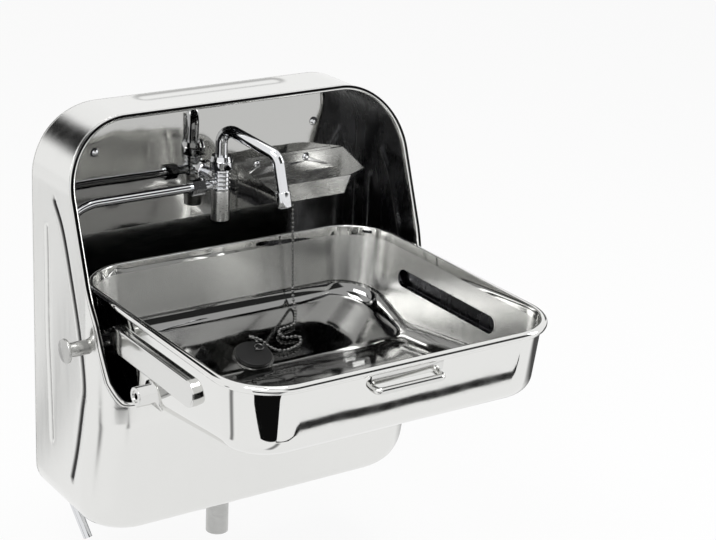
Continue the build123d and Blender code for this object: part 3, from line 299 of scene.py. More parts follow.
def smoothCopy(node, sharp=28.0):
    # the CAD solid again with its doubles merged and its curved faces shaded smooth
    mesh = frame["nodes"][node].data.copy()
    mesh.name = node + "Smooth"
    shape = bmesh.new()
    shape.from_mesh(mesh)
    bmesh.ops.remove_doubles(shape, verts=shape.verts, dist=2e-6)
    bmesh.ops.dissolve_limit(shape, angle_limit=math.radians(0.05), verts=shape.verts, edges=shape.edges)
    bmesh.ops.triangulate(shape, faces=shape.faces)
    bmesh.ops.recalc_face_normals(shape, faces=shape.faces)
    shape.to_mesh(mesh)
    shape.free()
    mesh.shade_smooth()
    mesh.set_sharp_from_angle(angle=math.radians(sharp))
    piece = bpy.data.objects.new(node + "Smooth", mesh)
    bpy.context.scene.collection.objects.link(piece)
    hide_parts(node)
    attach(piece, nodeBodies[node])
    return piece


def filletPath(points, radii, steps=10):
    # straight runs joined by arcs: from where an arc starts, centre - inward * r cos a + ahead * r sin a
    points = np.asarray(points, float)
    path = [points[:1]]
    for before, here, after, radius in zip(points, points[1:], points[2:], radii):
        ahead, onward = unit(here - before), unit(after - here)
        bend = math.acos(np.clip(ahead @ onward, -1, 1))
        inward = unit(onward - ahead * (ahead @ onward))
        centre = here - ahead * radius * math.tan(bend / 2) + inward * radius
        angle = np.linspace(0, bend, steps)[:, None]
        path.append(centre - inward * radius * np.cos(angle) + ahead * radius * np.sin(angle))
    path.append(points[-1:])
    return np.concatenate(path)


def alongPath(path, step):
    # points at even steps along a path, its own corners kept
    lengths = np.linalg.norm(np.diff(path, axis=0), axis=1)
    counts = np.maximum(np.ceil(lengths / step).astype(int), 1)
    spans = [np.linspace(a, b, n, endpoint=False) for a, b, n in zip(path, path[1:], counts)]
    return np.concatenate(spans + [path[-1:]])


def sweep(path, radii, reference, around=28):
    # point = path + radius * (side * cos a + other * sin a), side square to the path and the reference
    ahead = unit(np.gradient(path, axis=0))
    side = unit(np.cross(ahead, reference))
    other = np.cross(side, ahead)
    angle = np.linspace(0, 2 * math.pi, around, endpoint=False)
    ring = side[:, None] * np.cos(angle)[None, :, None] + other[:, None] * np.sin(angle)[None, :, None]
    return path[:, None] + ring * np.asarray(radii, float)[:, None, None]


def pipeGrid(path, outer, bore, reference, around=28):
    # a tube with a wall: the outside along the path, then the bore back, both closed at the first end
    outside = sweep(path, np.full(len(path), outer), reference, around)
    inside = sweep(path, np.full(len(path), bore), reference, around)
    return np.concatenate([inside[:1], outside, inside[::-1]])


def lathe(profile, centre, axis, around=72):
    # point = centre + axis * along + radius * (side * cos a + other * sin a)
    profile = np.asarray(profile, float)
    axis = unit(axis)
    helper = (1, 0, 0) if abs(axis[0]) < 0.9 else (0, 1, 0)
    side = unit(np.cross(axis, helper))
    other = np.cross(axis, side)
    angle = np.linspace(0, 2 * math.pi, around, endpoint=False)
    ring = side * np.cos(angle)[:, None] + other * np.sin(angle)[:, None]
    return np.asarray(centre, float) + axis * profile[:, 1, None, None] + ring[None] * profile[:, 0, None, None]


def softProfile(points, radius, steps=5):
    # a profile with every inner corner rounded, as far as its runs allow
    points = np.asarray(points, float)
    runs = np.linalg.norm(np.diff(points, axis=0), axis=1)
    radii = []
    for k in range(1, len(points) - 1):
        ahead, onward = unit(points[k] - points[k - 1]), unit(points[k + 1] - points[k])
        bend = math.acos(np.clip(ahead @ onward, -1, 1))
        room = 0.45 * min(runs[k - 1], runs[k]) / max(math.tan(bend / 2), 1e-3)
        radii.append(min(radius, room))
    return filletPath(points, radii, steps)


# ---- hood: one drawn sheet from the wall round the front, up over the arch, open at the mouth
hood = {
    "halfWidth": 200.0, "bottom": 10.0, "top": 440.0, "depth": 158.0, "skirtDepth": 132.8, "straightFrom": 146.0,
    "arch": 71.0, "base": 36.0, "baseEdge": 15.0, "corner": 38.0, "sheet": 1.2, "wallSide": 1.2,
    "mouthSlope": 0.371,
    "mouth": [(-200.0, 166.0), (-156.0, 166.0), (-145.5, 192.0), (-132.5, 253.5), (-55.72, 460.5)],
    "mouthRadii": (8.0, 30.0, 80.0),
    "rowStep": 3.6, "cornerColumns": 26, "frontColumns": 16, "topRows": 60,
    "spans": (16, 6, 9), "creaseSteps": (-6.5, -5.2, -4.2, -3.4, -2.6, -1.7, -0.8, 0.0, 0.8, 1.7, 2.6, 3.4, 4.2, 5.2, 6.5),
    # the crease shade widths: how wide the painted shade runs along the front and rear creases
    "creaseWidth": 6.0, "creaseDepth": 1.6, "creaseShadeWidth": (8.0, 3.6), "creaseRoom": 7.4,
    "frontCrease": [(0.329, 0.805), (0.443, 0.749), (0.551, 0.651), (0.677, 0.516), (0.741, 0.4), (0.709, 0.33),
                    (0.633, 0.214), (0.557, 0.128)],
    "rearCrease": [(0.209, 0.726), (0.215, 0.621), (0.215, 0.467), (0.237, 0.34), (0.259, 0.191)],
    "topPanel": (174.0, 19.0, -14.5), "topPanelDepth": 0.9, "topPanelEdge": 1.6,
    "hemWidth": 6.4, "hemProud": 1.5, "hemInside": (0.5, 2.2), "hemThickFrom": 185.0, "hemRound": 1.3, "hemGroove": (1.4, 2.6, 0.9),
}


def mouthEdge(spec):
    # free edge seen from the side, from where it meets the front face up to the top
    path = alongPath(filletPath(spec["mouth"], spec["mouthRadii"], 14), spec["rowStep"])
    lip = np.interp(-spec["depth"], path[:, 0], path[:, 1])
    head = spec["mouth"][3][0] + spec["mouthSlope"] * (spec["top"] - spec["mouth"][3][1])
    inside = path[(path[:, 0] > -spec["depth"] + 0.3) & (path[:, 1] < spec["top"] - 1)]
    return np.concatenate([[(-spec["depth"], lip)], inside, [(head, spec["top"])]])


def splineThrough(points, steps=24):
    # Catmull-Rom: each span blends its two ends and their neighbours with cubic weights
    points = np.asarray(points, float)
    padded = np.concatenate([2 * points[:1] - points[1:2], points, 2 * points[-1:] - points[-2:-1]])
    t = np.linspace(0, 1, steps, endpoint=False)[:, None]
    spans = []
    for a, b, c, d in zip(padded, padded[1:], padded[2:], padded[3:]):
        spans.append(0.5 * (2 * b + (c - a) * t + (2 * a - 5 * b + 4 * c - d) * t ** 2 + (3 * b - a - 3 * c + d) * t ** 3))
    return np.concatenate(spans + [points[-1:]])


def creaseLine(shares, spec):
    # a crease seen from the side: shares of the depth and height joined by a spline
    height = spec["top"] - spec["bottom"]
    return splineThrough([(-spec["depth"] * d, spec["bottom"] + height * h) for d, h in shares])


def creaseAway(y, z, line):
    # distance to the nearest point of a crease
    flat = np.sqrt((y.reshape(-1, 1) - line[:, 0]) ** 2 + (z.reshape(-1, 1) - line[:, 1]) ** 2).min(axis=1)
    return flat.reshape(y.shape)


def creaseDent(y, z, spec):
    # rounded grooves along both creases: depth * exp(-(distance / half width) squared)
    lines = [creaseLine(spec[name], spec) for name in ("frontCrease", "rearCrease")]
    return sum(spec["creaseDepth"] * np.exp(-(creaseAway(y, z, line) / (spec["creaseWidth"] / 2)) ** 2) for line in lines)


def sideColumns(heights, flat, spec):
    # distances from the wall along the side at every height: even spans, and close steps across each crease
    steps = np.array(spec["creaseSteps"])
    bounds = []
    for name in ("rearCrease", "frontCrease"):
        line = creaseLine(spec[name], spec)
        order = np.argsort(line[:, 1])
        bounds.append(-np.interp(heights, line[order, 1], line[order, 0]) - spec["wallSide"])
    front = np.minimum(bounds[1], flat - spec["creaseRoom"])
    rear = np.minimum(bounds[0], front - 2 * spec["creaseRoom"])
    first, second, third = spec["spans"]
    return np.concatenate([
        np.linspace(0 * rear, rear + steps[0], first, endpoint=False).T, rear[:, None] + steps[None, :-1],
        np.linspace(rear + steps[-1], front + steps[0], second, endpoint=False).T, front[:, None] + steps[None, :-1],
        np.linspace(front + steps[-1], flat, third, endpoint=False).T,
    ], axis=1)


def hoodSurface(spec):
    straight = spec["depth"] - spec["corner"]
    full = straight - spec["wallSide"] + spec["corner"] * math.pi / 2
    edge = mouthEdge(spec)
    archFoot = spec["top"] - spec["arch"]
    sideRows = edge[edge[:, 1] < archFoot]
    footY = spec["mouth"][3][0] + spec["mouthSlope"] * (archFoot - spec["mouth"][3][1])
    sideRows = np.concatenate([sideRows, [(footY, archFoot)]])
    angle = np.linspace(0, math.pi / 2, 34)[1:]
    archHeights = archFoot + spec["arch"] * np.sin(angle)
    archY = spec["mouth"][3][0] + spec["mouthSlope"] * (archHeights - spec["mouth"][3][1])
    topX = np.linspace(spec["halfWidth"] - spec["arch"], 0, spec["topRows"])[1:]
    # outline seen from the front: its x, z and outward normal, and how deep the sheet reaches there
    outlineX = np.concatenate([
        np.full(len(sideRows), -spec["halfWidth"]),
        -(spec["halfWidth"] - spec["arch"]) - spec["arch"] * np.cos(angle), -topX,
    ])
    outlineZ = np.concatenate([sideRows[:, 1], archHeights, np.full(len(topX), spec["top"])])
    normalX = np.concatenate([np.full(len(sideRows), -1.0), -np.cos(angle), np.zeros(len(topX))])
    normalZ = np.concatenate([np.zeros(len(sideRows)), np.sin(angle), np.ones(len(topX))])
    edgeY = np.concatenate([sideRows[:, 0], archY, np.full(len(topX), archY[-1])])
    past = np.clip((-edgeY - straight) / spec["corner"], 0, 1)
    reach = np.minimum(-edgeY, straight) - spec["wallSide"] + spec["corner"] * np.arcsin(past)
    cornerArc = spec["corner"] * math.pi / 2
    flatEnd = reach - cornerArc * np.clip((reach - cornerArc) / (full - cornerArc), 0.06, 1)
    side = sideColumns(outlineZ, flatEnd, spec)
    turnShare = np.linspace(0, 1, spec["cornerColumns"])[None, :]
    along = np.concatenate([side, flatEnd[:, None] + (reach - flatEnd)[:, None] * turnShare], axis=1)
    round_ = np.maximum(along - (straight - spec["wallSide"]), 0) / spec["corner"]
    y = -np.where(round_ > 0, straight + spec["corner"] * np.sin(round_), along + spec["wallSide"])
    inward = spec["corner"] * (1 - np.cos(round_))
    x = outlineX[:, None] - inward * normalX[:, None]
    z = outlineZ[:, None] + 0 * x
    z = z - inward * normalZ[:, None]
    x = x + creaseDent(y, z, spec) * np.clip(-normalX, 0, 1)[:, None] ** 4
    z = z - spec["topPanelDepth"] / (1 + np.exp(-panelInside(x, y, spec) / (spec["topPanelEdge"] / 3))) * (normalZ[:, None] > 0.999)
    upper = np.stack([x, y, z], axis=-1)

    lipHeight = edge[0, 1]
    angle = np.linspace(0, math.pi / 2, 22)
    baseCentre = spec["bottom"] + spec["base"]
    heights = np.concatenate([
        np.linspace(lipHeight, spec["straightFrom"], 6, endpoint=False),
        np.linspace(spec["straightFrom"], baseCentre, 26, endpoint=False), baseCentre - spec["base"] * np.sin(angle),
    ])
    drop = np.maximum(baseCentre - heights, 0)
    half = spec["halfWidth"] - spec["base"] + np.sqrt(np.maximum(spec["base"] ** 2 - drop ** 2, 0))
    share = np.clip((heights - spec["bottom"]) / (spec["straightFrom"] - spec["bottom"]), 0, 1)
    drop = np.maximum(spec["bottom"] + spec["baseEdge"] - heights, 0)
    depth = (
        spec["skirtDepth"] + (spec["depth"] - spec["skirtDepth"]) * share - spec["baseEdge"]
        + np.sqrt(np.maximum(spec["baseEdge"] ** 2 - drop ** 2, 0))
    )
    flat = sideColumns(heights, depth - spec["corner"] - spec["wallSide"], spec)
    theta = np.linspace(0, math.pi / 2, spec["cornerColumns"])[None, :]
    front = np.linspace(0, 1, spec["frontColumns"] + 1)[None, 1:]
    halfColumn, depthColumn = half[:, None], depth[:, None]
    lowerX = np.concatenate([
        -halfColumn + 0 * flat, -halfColumn + spec["corner"] * (1 - np.cos(theta)),
        -(halfColumn - spec["corner"]) * (1 - front),
    ], axis=1)
    lowerY = np.concatenate([
        -spec["wallSide"] - flat, -depthColumn + spec["corner"] * (1 - np.sin(theta)), -depthColumn + 0 * front,
    ], axis=1)
    lowerZ = heights[:, None] + 0 * lowerX
    lowerX = lowerX + creaseDent(lowerY, lowerZ, spec) * (lowerX < -halfColumn + 2)
    lower = np.stack([lowerX, lowerY, lowerZ], axis=-1)
    shrink = np.linspace(1, 0, 8)[1:, None, None]
    middle = np.array([0, -spec["wallSide"], spec["bottom"]])
    floor = middle + (lower[-1][None] - middle) * shrink
    lower = np.concatenate([lower, floor])

    # the hem's path: along the lip from the middle, then up the mouth's edge to the middle of the top
    lipX = np.linspace(0, -(spec["halfWidth"] - spec["corner"]), 30, endpoint=False)
    turn = np.arcsin(past)
    tip = upper[:, -1]
    tipNormal = np.stack([
        np.where(past > 0, -np.cos(turn), normalX), -np.sin(turn) * (past > 0), np.where(past > 0, 0, normalZ)
    ], axis=-1)
    lip = np.stack([lipX, np.full(30, -spec["depth"]), np.full(30, lipHeight)], axis=-1)
    path = np.concatenate([lip, tip])
    normal = np.concatenate([np.tile([0.0, -1.0, 0.0], (30, 1)), tipNormal])
    return upper, lower, path, normal


def panelInside(x, y, spec):
    # how far inside the top panel's rounded outline a point lies
    length, width, centre = spec["topPanel"]
    reachX = np.maximum(np.abs(x) - (length - width) / 2, 0)
    return width / 2 - np.sqrt(reachX ** 2 + (y - centre) ** 2)


def paintedShadeShare(piece, values):
    # the painted-shade value of every point of a mesh, 0 where the sheet is plain, 1 where shade is painted in the
    # bottom of a pressed line
    layer = piece.data.attributes.new("paintedShade", "FLOAT", "POINT")
    layer.data.foreach_set("value", np.clip(values, 0, 1).astype(np.float32))


def meshPoints(piece):
    points = np.empty(len(piece.data.vertices) * 3, np.float32)
    piece.data.vertices.foreach_get("co", points)
    return points.reshape(-1, 3) / mm


def mirrored(grid):
    return grid * np.array([-1.0, 1.0, 1.0])


upperHalf, lowerHalf, hemPath, hemNormal = hoodSurface(hood)
hoodPiece = makePiece(
    "drawnHood", [(upperHalf, False), (mirrored(upperHalf), False), (lowerHalf, False), (mirrored(lowerHalf), False)],
    "housing_shell", sharp=50.0, wall=hood["sheet"],
)
# the sheet's inner face takes the dark inside finish: painted shade for the inside of the hood
hoodPiece.data.materials.append(shadedInnerStainless)
hoodPiece.modifiers["wall"].material_offset = 1
hoodPoints = meshPoints(hoodPiece)
# painted shade: the base colour is darkened along both side creases and round the top panel's edge, where shade falls
onSide = np.abs(hoodPoints[:, 0]) > hood["halfWidth"] - 4
creaseShade = np.stack([
    share * np.exp(-(creaseAway(hoodPoints[:, 1], hoodPoints[:, 2], creaseLine(hood[name], hood)) / (width / 2)) ** 4)
    for name, width, share in (("frontCrease", hood["creaseShadeWidth"][0], 1.0), ("rearCrease", hood["creaseShadeWidth"][1], 0.45))
]).max(axis=0) * onSide
panelEdge = np.abs(panelInside(hoodPoints[:, 0], hoodPoints[:, 1], hood)) / hood["creaseShadeWidth"][1]
onTop = hoodPoints[:, 2] > hood["top"] - 2
paintedShadeShare(hoodPiece, np.maximum(creaseShade, 0.5 * np.exp(-panelEdge ** 2) * onTop))


def hemGrid(path, normal, spec):
    # rolled edge: a rounded flat profile set off along the sheet and along its normal at every point of the path
    keep = np.concatenate([[True], np.linalg.norm(np.diff(path, axis=0), axis=1) > 0.2])
    path, normal = path[keep], normal[keep]
    ahead = unit(np.gradient(path, axis=0))
    intoSheet = unit(np.cross(ahead, normal))
    thin, thick = spec["hemInside"]
    low, high = -spec["sheet"] - thin, spec["hemProud"]
    width, start, stop, depth = spec["hemWidth"], *spec["hemGroove"]
    slant = (stop - start) / 4
    profile = filletPath(
        [(0, (low + high) / 2), (0, high - 0.2), (start, high - 0.2), (start + slant, high - depth),
         (stop - slant, high - depth), (stop, high), (width, high), (width, low), (0, low), (0, (low + high) / 2)],
        [0.6, 0.25, 0.08, 0.08, 0.35, spec["hemRound"], spec["hemRound"], 0.8], 5,
    )[:-1]
    away, proud = profile[:, 0], profile[:, 1]
    # painted shade: the hem's foot against the sheet and the bottom of its groove are marked to be darkened, where
    # shade falls
    foot = np.clip((away - width + 1.3) / 0.6, 0, 1) * (proud > -0.5)
    valley = np.clip((high - 0.25 - proud) / 0.4, 0, 1) * (away > start - 0.1) * (away < stop + 0.1) * (proud > 0)
    # up the sides the roll grows thicker inwards, clear of the hinge at the lip
    grown = np.clip((path[:, 2] - spec["hemThickFrom"]) / 40, 0, 1)[:, None] * (thick - thin)
    proud = proud[None] - grown * (proud < 0)[None] * np.clip(-proud / -low, 0, 1)[None]
    grid = path[:, None] + intoSheet[:, None] * away[None, :, None] + normal[:, None] * proud[..., None]
    return grid, np.tile(np.maximum(foot, valley), len(path))


# the rolled hem carries painted shade at its foot and in its groove
hemHalf, hemShade = hemGrid(hemPath, hemNormal, hood)
makePiece(
    "rolledHem", [(hemHalf, True), (mirrored(hemHalf), True)], None, body="hood", slot="satin_stainless",
    values={"paintedShade": np.concatenate([hemShade, hemShade])},
)
print("hood made")

# ---- bowl: drafted walls, a floor of two slopes, a rolled rim
bowl = {
    "centreY": -225.5, "halfX": 180.0, "halfY": 171.75, "corner": 55.25, "rimTop": 278.5, "rimHeight": 8.5,
    "overhang": 4.75, "rimRound": 4.16, "draft": 6.1, "sheet": 1.2, "edgeRadius": 22.0,
    "lowY": -152.5, "lowZ": 173.85, "frontSlope": 0.124, "rearSlope": 0.33, "lowRadius": 26.0,
    "perimeter": (66, 26, 60, 26), "floorRings": (26, 60), "arcRings": 14, "wallRings": 12, "lipRound": 1.6,
    "slots": ((-1, -141.0), (1, -128.0)), "slotFront": -296.0, "slotBottom": 228.0, "slotHeight": 19.0, "slotRound": 9.4,
    "drain": (-12.0, -134.0), "drainHole": 17.05,
}


def floorHeight(y, lift, spec):
    # two slopes that meet in an arc tangent to both
    rear, front = math.atan(spec["rearSlope"]), math.atan(spec["frontSlope"])
    tangent = spec["lowRadius"] * math.tan((rear + front) / 2)
    rearY, frontY = spec["lowY"] + tangent * math.cos(rear), spec["lowY"] - tangent * math.cos(front)
    centreY = rearY - spec["lowRadius"] * math.sin(rear)
    centreZ = tangent * math.sin(rear) + spec["lowRadius"] * math.cos(rear)
    arc = centreZ - np.sqrt(np.maximum(spec["lowRadius"] ** 2 - (y - centreY) ** 2, 0))
    height = np.where(y > rearY, (y - spec["lowY"]) * spec["rearSlope"], arc)
    height = np.where(y < frontY, (spec["lowY"] - y) * spec["frontSlope"], height)
    slope = np.where(y > rearY, spec["rearSlope"], np.where(y < frontY, -spec["frontSlope"], 0))
    return height + spec["lowZ"] + lift, slope


def roundedRectangle(spec):
    # points and outward normals of the wall line at the rim, counted off side by side
    across, cornerSteps, along, _ = spec["perimeter"]
    flatX, flatY = spec["halfX"] - spec["corner"], spec["halfY"] - spec["corner"]
    points, normals = [], []
    for sx, sy, first in ((1, 1, 0), (-1, 1, 90), (-1, -1, 180), (1, -1, 270)):
        angle = np.radians(first + np.linspace(0, 90, cornerSteps, endpoint=False))
        direction = np.stack([np.cos(angle), np.sin(angle)], axis=-1)
        points.append(np.array([sx * flatX, sy * flatY]) + spec["corner"] * direction)
        normals.append(direction)
        count = across if first in (0, 180) else along
        final = np.radians(first + 90)
        direction = np.array([math.cos(final), math.sin(final)])
        start = np.array([sx * flatX, sy * flatY]) + spec["corner"] * direction
        stop = start + (np.array([-2 * flatX * sx, 0]) if first in (0, 180) else np.array([0, -2 * flatY * sy]))
        points.append(np.linspace(start, stop, count, endpoint=False))
        normals.append(np.tile(direction, (count, 1)))
    return np.concatenate(points) + np.array([0, spec["centreY"]]), np.concatenate(normals)


def shellHalf(spec, inset, floorRings):
    # rings from the floor's middle outwards and up the wall, for one face of the sheet
    line, outward = roundedRectangle(spec)
    line = line - outward * inset
    draft = math.tan(math.radians(spec["draft"]))
    radius = spec["edgeRadius"] - inset
    inward = np.full(len(line), 8.0)
    for _ in range(12):
        height, slope = floorHeight(line[:, 1] - outward[:, 1] * inward, inset, spec)
        inward = (spec["rimTop"] - height) * draft
    tilt = np.arctan(-slope * outward[:, 1])
    alpha = math.radians(spec["draft"])
    opening = math.pi / 2 + alpha - tilt + 0 * tilt
    tangent = radius / np.tan(opening / 2)
    wallIn = inward - tangent * math.sin(alpha)
    wallUp = height + tangent * math.cos(alpha)
    centreIn = wallIn + radius * math.cos(alpha)
    centreUp = wallUp + radius * math.sin(alpha)
    sweepAngle = np.linspace(0, 1, spec["arcRings"])[:, None] * (math.pi / 2 + tilt - alpha)[None, :] + alpha
    arcIn = centreIn[None] - radius * np.cos(sweepAngle)
    arcUp = centreUp[None] - radius * np.sin(sweepAngle)
    arc = np.concatenate([line[None] - outward[None] * arcIn[..., None], arcUp[..., None]], axis=-1)[::-1]
    share = np.linspace(0, 1, floorRings, endpoint=False)[:, None, None]
    middle = np.array([0.0, spec["centreY"]])
    plan = middle + (arc[0, :, :2][None] - middle) * share
    floorZ, _ = floorHeight(plan[..., 1], inset, spec)
    floor = np.concatenate([plan, floorZ[..., None]], axis=-1)
    rise = np.linspace(0, 1, spec["wallRings"])[1:, None] * (spec["rimTop"] - spec["rimHeight"] - 2 - wallUp)[None] + wallUp
    wallPlan = line[None] - outward[None] * ((spec["rimTop"] - rise) * draft)[..., None]
    wall = np.concatenate([wallPlan, rise[..., None]], axis=-1)
    return floor, arc, wall, line, outward


def bowlGrid(spec):
    outFloor, outArc, outWall, line, outward = shellHalf(spec, 0.0, spec["floorRings"][0])
    inFloor, inArc, inWall, _, _ = shellHalf(spec, spec["sheet"], spec["floorRings"][1])
    draft = math.tan(math.radians(spec["draft"]))
    low, top, over = spec["rimTop"] - spec["rimHeight"], spec["rimTop"], spec["overhang"]
    rim = filletPath(
        [(-spec["rimHeight"] * draft - 0.1, low), (over, low), (over, top), (-spec["sheet"], top),
         (-spec["sheet"] - spec["rimHeight"] * draft, low)],
        [spec["rimRound"], spec["rimRound"], spec["lipRound"]], 9,
    )
    rimPlan = line[None] + outward[None] * rim[:, :1, None]
    rimGrid = np.concatenate([rimPlan, np.repeat(rim[:, 1:, None], len(line), axis=1)], axis=-1)
    parts = [outFloor, outArc, outWall, rimGrid, inWall[::-1], inArc[::-1], inFloor[::-1]]
    zone = np.concatenate([np.full(part.shape[0] * part.shape[1], value) for part, value in zip(parts, (0, 0, 0, 0, 1, 2, 2))])
    return np.concatenate(parts), zone


def finishZones(piece, materials):
    # every face takes the finish that its first point's zone names: 0 the piece's own, then those given
    for material in materials:
        piece.data.materials.append(material)
    zone = np.empty(len(piece.data.vertices), np.float32)
    piece.data.attributes["zone"].data.foreach_get("value", zone)
    first = np.empty(len(piece.data.polygons), np.int32)
    point = np.empty(len(piece.data.loops), np.int32)
    piece.data.polygons.foreach_get("loop_start", first)
    piece.data.loops.foreach_get("vertex_index", point)
    piece.data.polygons.foreach_set("material_index", np.round(zone[point[first]]).astype(np.int32))


def prism(outline, lift):
    # a flat outline carried along a straight lift, closed at both ends
    outline = np.asarray(outline, float)
    middle = outline.mean(axis=0)
    ring = np.stack([np.tile(middle, (len(outline), 1)), outline, outline + lift, np.tile(middle + lift, (len(outline), 1))])
    return ring


def stadium(centre, halfLength, halfHeight, radius, steps=14):
    # rounded slot outline, its long side along the first direction
    path = filletPath(
        [(0, halfHeight), (halfLength, halfHeight), (halfLength, -halfHeight), (-halfLength, -halfHeight),
         (-halfLength, halfHeight), (0, halfHeight)], [radius] * 4, steps,
    )[:-1]
    return path + np.asarray(centre, float)


def cutter(grids):
    # a plain closed mesh that only cuts
    points = np.concatenate([g.reshape(-1, 3) for g in grids])
    faces, count = [], 0
    for g in grids:
        faces.append(gridFaces(g.shape[0], g.shape[1], True) + count)
        count += g.shape[0] * g.shape[1]
    mesh = bpy.data.meshes.new("cutter")
    mesh.from_pydata((points * mm).tolist(), [], np.concatenate(faces).tolist())
    shape = bmesh.new()
    shape.from_mesh(mesh)
    bmesh.ops.remove_doubles(shape, verts=shape.verts, dist=1e-6)
    bmesh.ops.recalc_face_normals(shape, faces=shape.faces)
    shape.to_mesh(mesh)
    shape.free()
    tool = bpy.data.objects.new("cutter", mesh)
    bpy.context.scene.collection.objects.link(tool)
    return tool


def cutAway(piece, grids, sharp):
    # exact difference, applied, and the cutter thrown away
    tool = cutter(grids)
    change = piece.modifiers.new("cut", "BOOLEAN")
    change.operation, change.solver, change.object = "DIFFERENCE", "EXACT", tool
    graph = bpy.context.evaluated_depsgraph_get()
    mesh = bpy.data.meshes.new_from_object(piece.evaluated_get(graph))
    piece.modifiers.remove(change)
    old, piece.data = piece.data, mesh
    bpy.data.meshes.remove(old)
    bpy.data.objects.remove(tool)
    mesh.shade_smooth()
    mesh.set_sharp_from_angle(angle=math.radians(sharp))


bowlShape, bowlZone = bowlGrid(bowl)
bowlPiece = makePiece("drawnBowl", [(bowlShape, True)], "bowl_pan", sharp=50.0, values={"zone": bowlZone})
# the inner walls take the satin finish, the floor and its arcs the darkened floor finish: painted shade
finishZones(bowlPiece, (satinBowl, shadedRippledFloor))
slotCuts = []
for side, rear in bowl["slots"]:
    centre = ((rear + bowl["slotFront"]) / 2, bowl["slotBottom"] + bowl["slotHeight"] / 2)
    flat = stadium(centre, (rear - bowl["slotFront"]) / 2, bowl["slotHeight"] / 2, bowl["slotRound"])
    outline = np.column_stack([np.full(len(flat), side * 150.0), flat])
    slotCuts.append(prism(outline, np.array([side * 60.0, 0, 0])))
drainTilt = math.atan(bowl["rearSlope"])
drainUp = np.array([0, -math.sin(drainTilt), math.cos(drainTilt)])
drainAcross = np.array([0, math.cos(drainTilt), math.sin(drainTilt)])
drainX, drainY = bowl["drain"]
drainCentre = np.array([drainX, drainY, bowl["lowZ"] + bowl["sheet"] + bowl["rearSlope"] * (drainY - bowl["lowY"])])
ringAngle = np.linspace(0, 2 * math.pi, 64, endpoint=False)[:, None]
drainRing = drainCentre + bowl["drainHole"] * (np.array([1.0, 0, 0]) * np.cos(ringAngle) + drainAcross * np.sin(ringAngle))
slotCuts.append(prism(drainRing - drainUp * 10, drainUp * 20))
cutAway(bowlPiece, slotCuts, 50.0)
print("bowl made")

# ---- overflow channels: a raised closed stadium of thin sheet on the outside of each side wall
channel = {
    "rear": {-1: -138.0, 1: -120.0}, "front": -305.0, "bottom": 225.5, "top": 253.0, "faceX": 182.8, "round": 12.0,
    "edge": 2.2, "sheet": 0.8, "sink": 0.6, "arcSteps": 9,
}


def stadiumRing(spec, rear, inset):
    # four quarter circles about fixed centres, their radius less by the inset
    radius = max(spec["round"] - inset, 0)
    centreY, centreZ = (rear + spec["front"]) / 2, (spec["bottom"] + spec["top"]) / 2
    halfY = (rear - spec["front"]) / 2 - spec["round"]
    halfZ = (spec["top"] - spec["bottom"]) / 2 - spec["round"]
    angle = np.concatenate([np.linspace(0, math.pi / 2, spec["arcSteps"]) + k * math.pi / 2 for k in range(4)])
    signY = np.repeat([1, -1, -1, 1], spec["arcSteps"])
    signZ = np.repeat([1, 1, -1, -1], spec["arcSteps"])
    return np.stack([
        centreY + signY * halfY + radius * np.cos(angle), centreZ + signZ * halfZ + radius * np.sin(angle)
    ], axis=-1)


def channelFace(spec, rear, thin):
    # rings from the wall up the side, round the edge and over the face to its middle line, for one face of the sheet
    angle = np.linspace(0, math.pi / 2, 7)
    edge = spec["edge"] - thin
    insets = np.concatenate([[thin], thin + edge * (1 - np.cos(angle)), [spec["round"] - 4, spec["round"]]])
    faceX = spec["faceX"] - thin
    rings = []
    for place, inset in enumerate(insets):
        flat = stadiumRing(spec, rear, inset)
        wallX = bowl["halfX"] - (bowl["rimTop"] - flat[:, 1]) * math.tan(math.radians(bowl["draft"])) - spec["sink"]
        across = wallX if place == 0 else np.full(len(flat), faceX - edge + edge * math.sin(angle[min(place - 1, 6)]))
        rings.append(np.column_stack([across, flat]))
    middle = rings[-1].copy()
    middle[:, 2] = (spec["bottom"] + spec["top"]) / 2
    return np.stack(rings + [middle])


for side, node in ((-1, "overflow_channel_left"), (1, "overflow_channel_right")):
    rear = channel["rear"][side]
    outside, inside = channelFace(channel, rear, 0.0), channelFace(channel, rear, channel["sheet"])
    rings = np.concatenate([inside[::-1], outside]) * np.array([side, 1.0, 1.0])
    inner = np.repeat([1, 0], [inside.shape[0] * inside.shape[1], outside.shape[0] * outside.shape[1]])
    # the channel's inner face takes the dark inside finish: painted shade for its hidden side
    finishZones(makePiece(node + "Pressed", [(rings, True)], node, sharp=45.0, values={"zone": inner}), (shadedInnerStainless,))
print("overflow channels made")

# ---- tap, spout, pipes
tap = {
    "y": -40.0, "radius": 10.0, "handleBottom": 302.7, "handleTop": 336.0, "bodyBottom": 336.3, "bodyTop": 360.0,
    "grooves": 5, "grooveDepth": 0.8, "grooveWidth": 1.3, "spindle": 4.0,
    "shankHeight": 347.0, "shankRadius": 6.0, "inletHeight": 343.0, "inletRadius": 5.8, "inletReach": 30.0,
}
tapCentre = (0, tap["y"], 0)
groovePitch = (tap["bodyTop"] - tap["bodyBottom"]) / tap["grooves"]
bodyProfile = [(0, tap["bodyBottom"]), (tap["radius"] - 0.6, tap["bodyBottom"])]
for index in range(tap["grooves"]):
    low = tap["bodyBottom"] + groovePitch * index
    bodyProfile += [
        (tap["radius"], low + 0.6), (tap["radius"], low + groovePitch - tap["grooveWidth"]),
        (tap["radius"] - tap["grooveDepth"], low + groovePitch - tap["grooveWidth"] * 0.7),
        (tap["radius"] - tap["grooveDepth"], low + groovePitch - 0.3),
    ]
bodyProfile += [(tap["radius"] - 1, tap["bodyTop"]), (0, tap["bodyTop"])]
shankProfile = [(0, -2.4), (tap["shankRadius"], -2.4), (tap["shankRadius"], 36.0), (0, 36.0)]
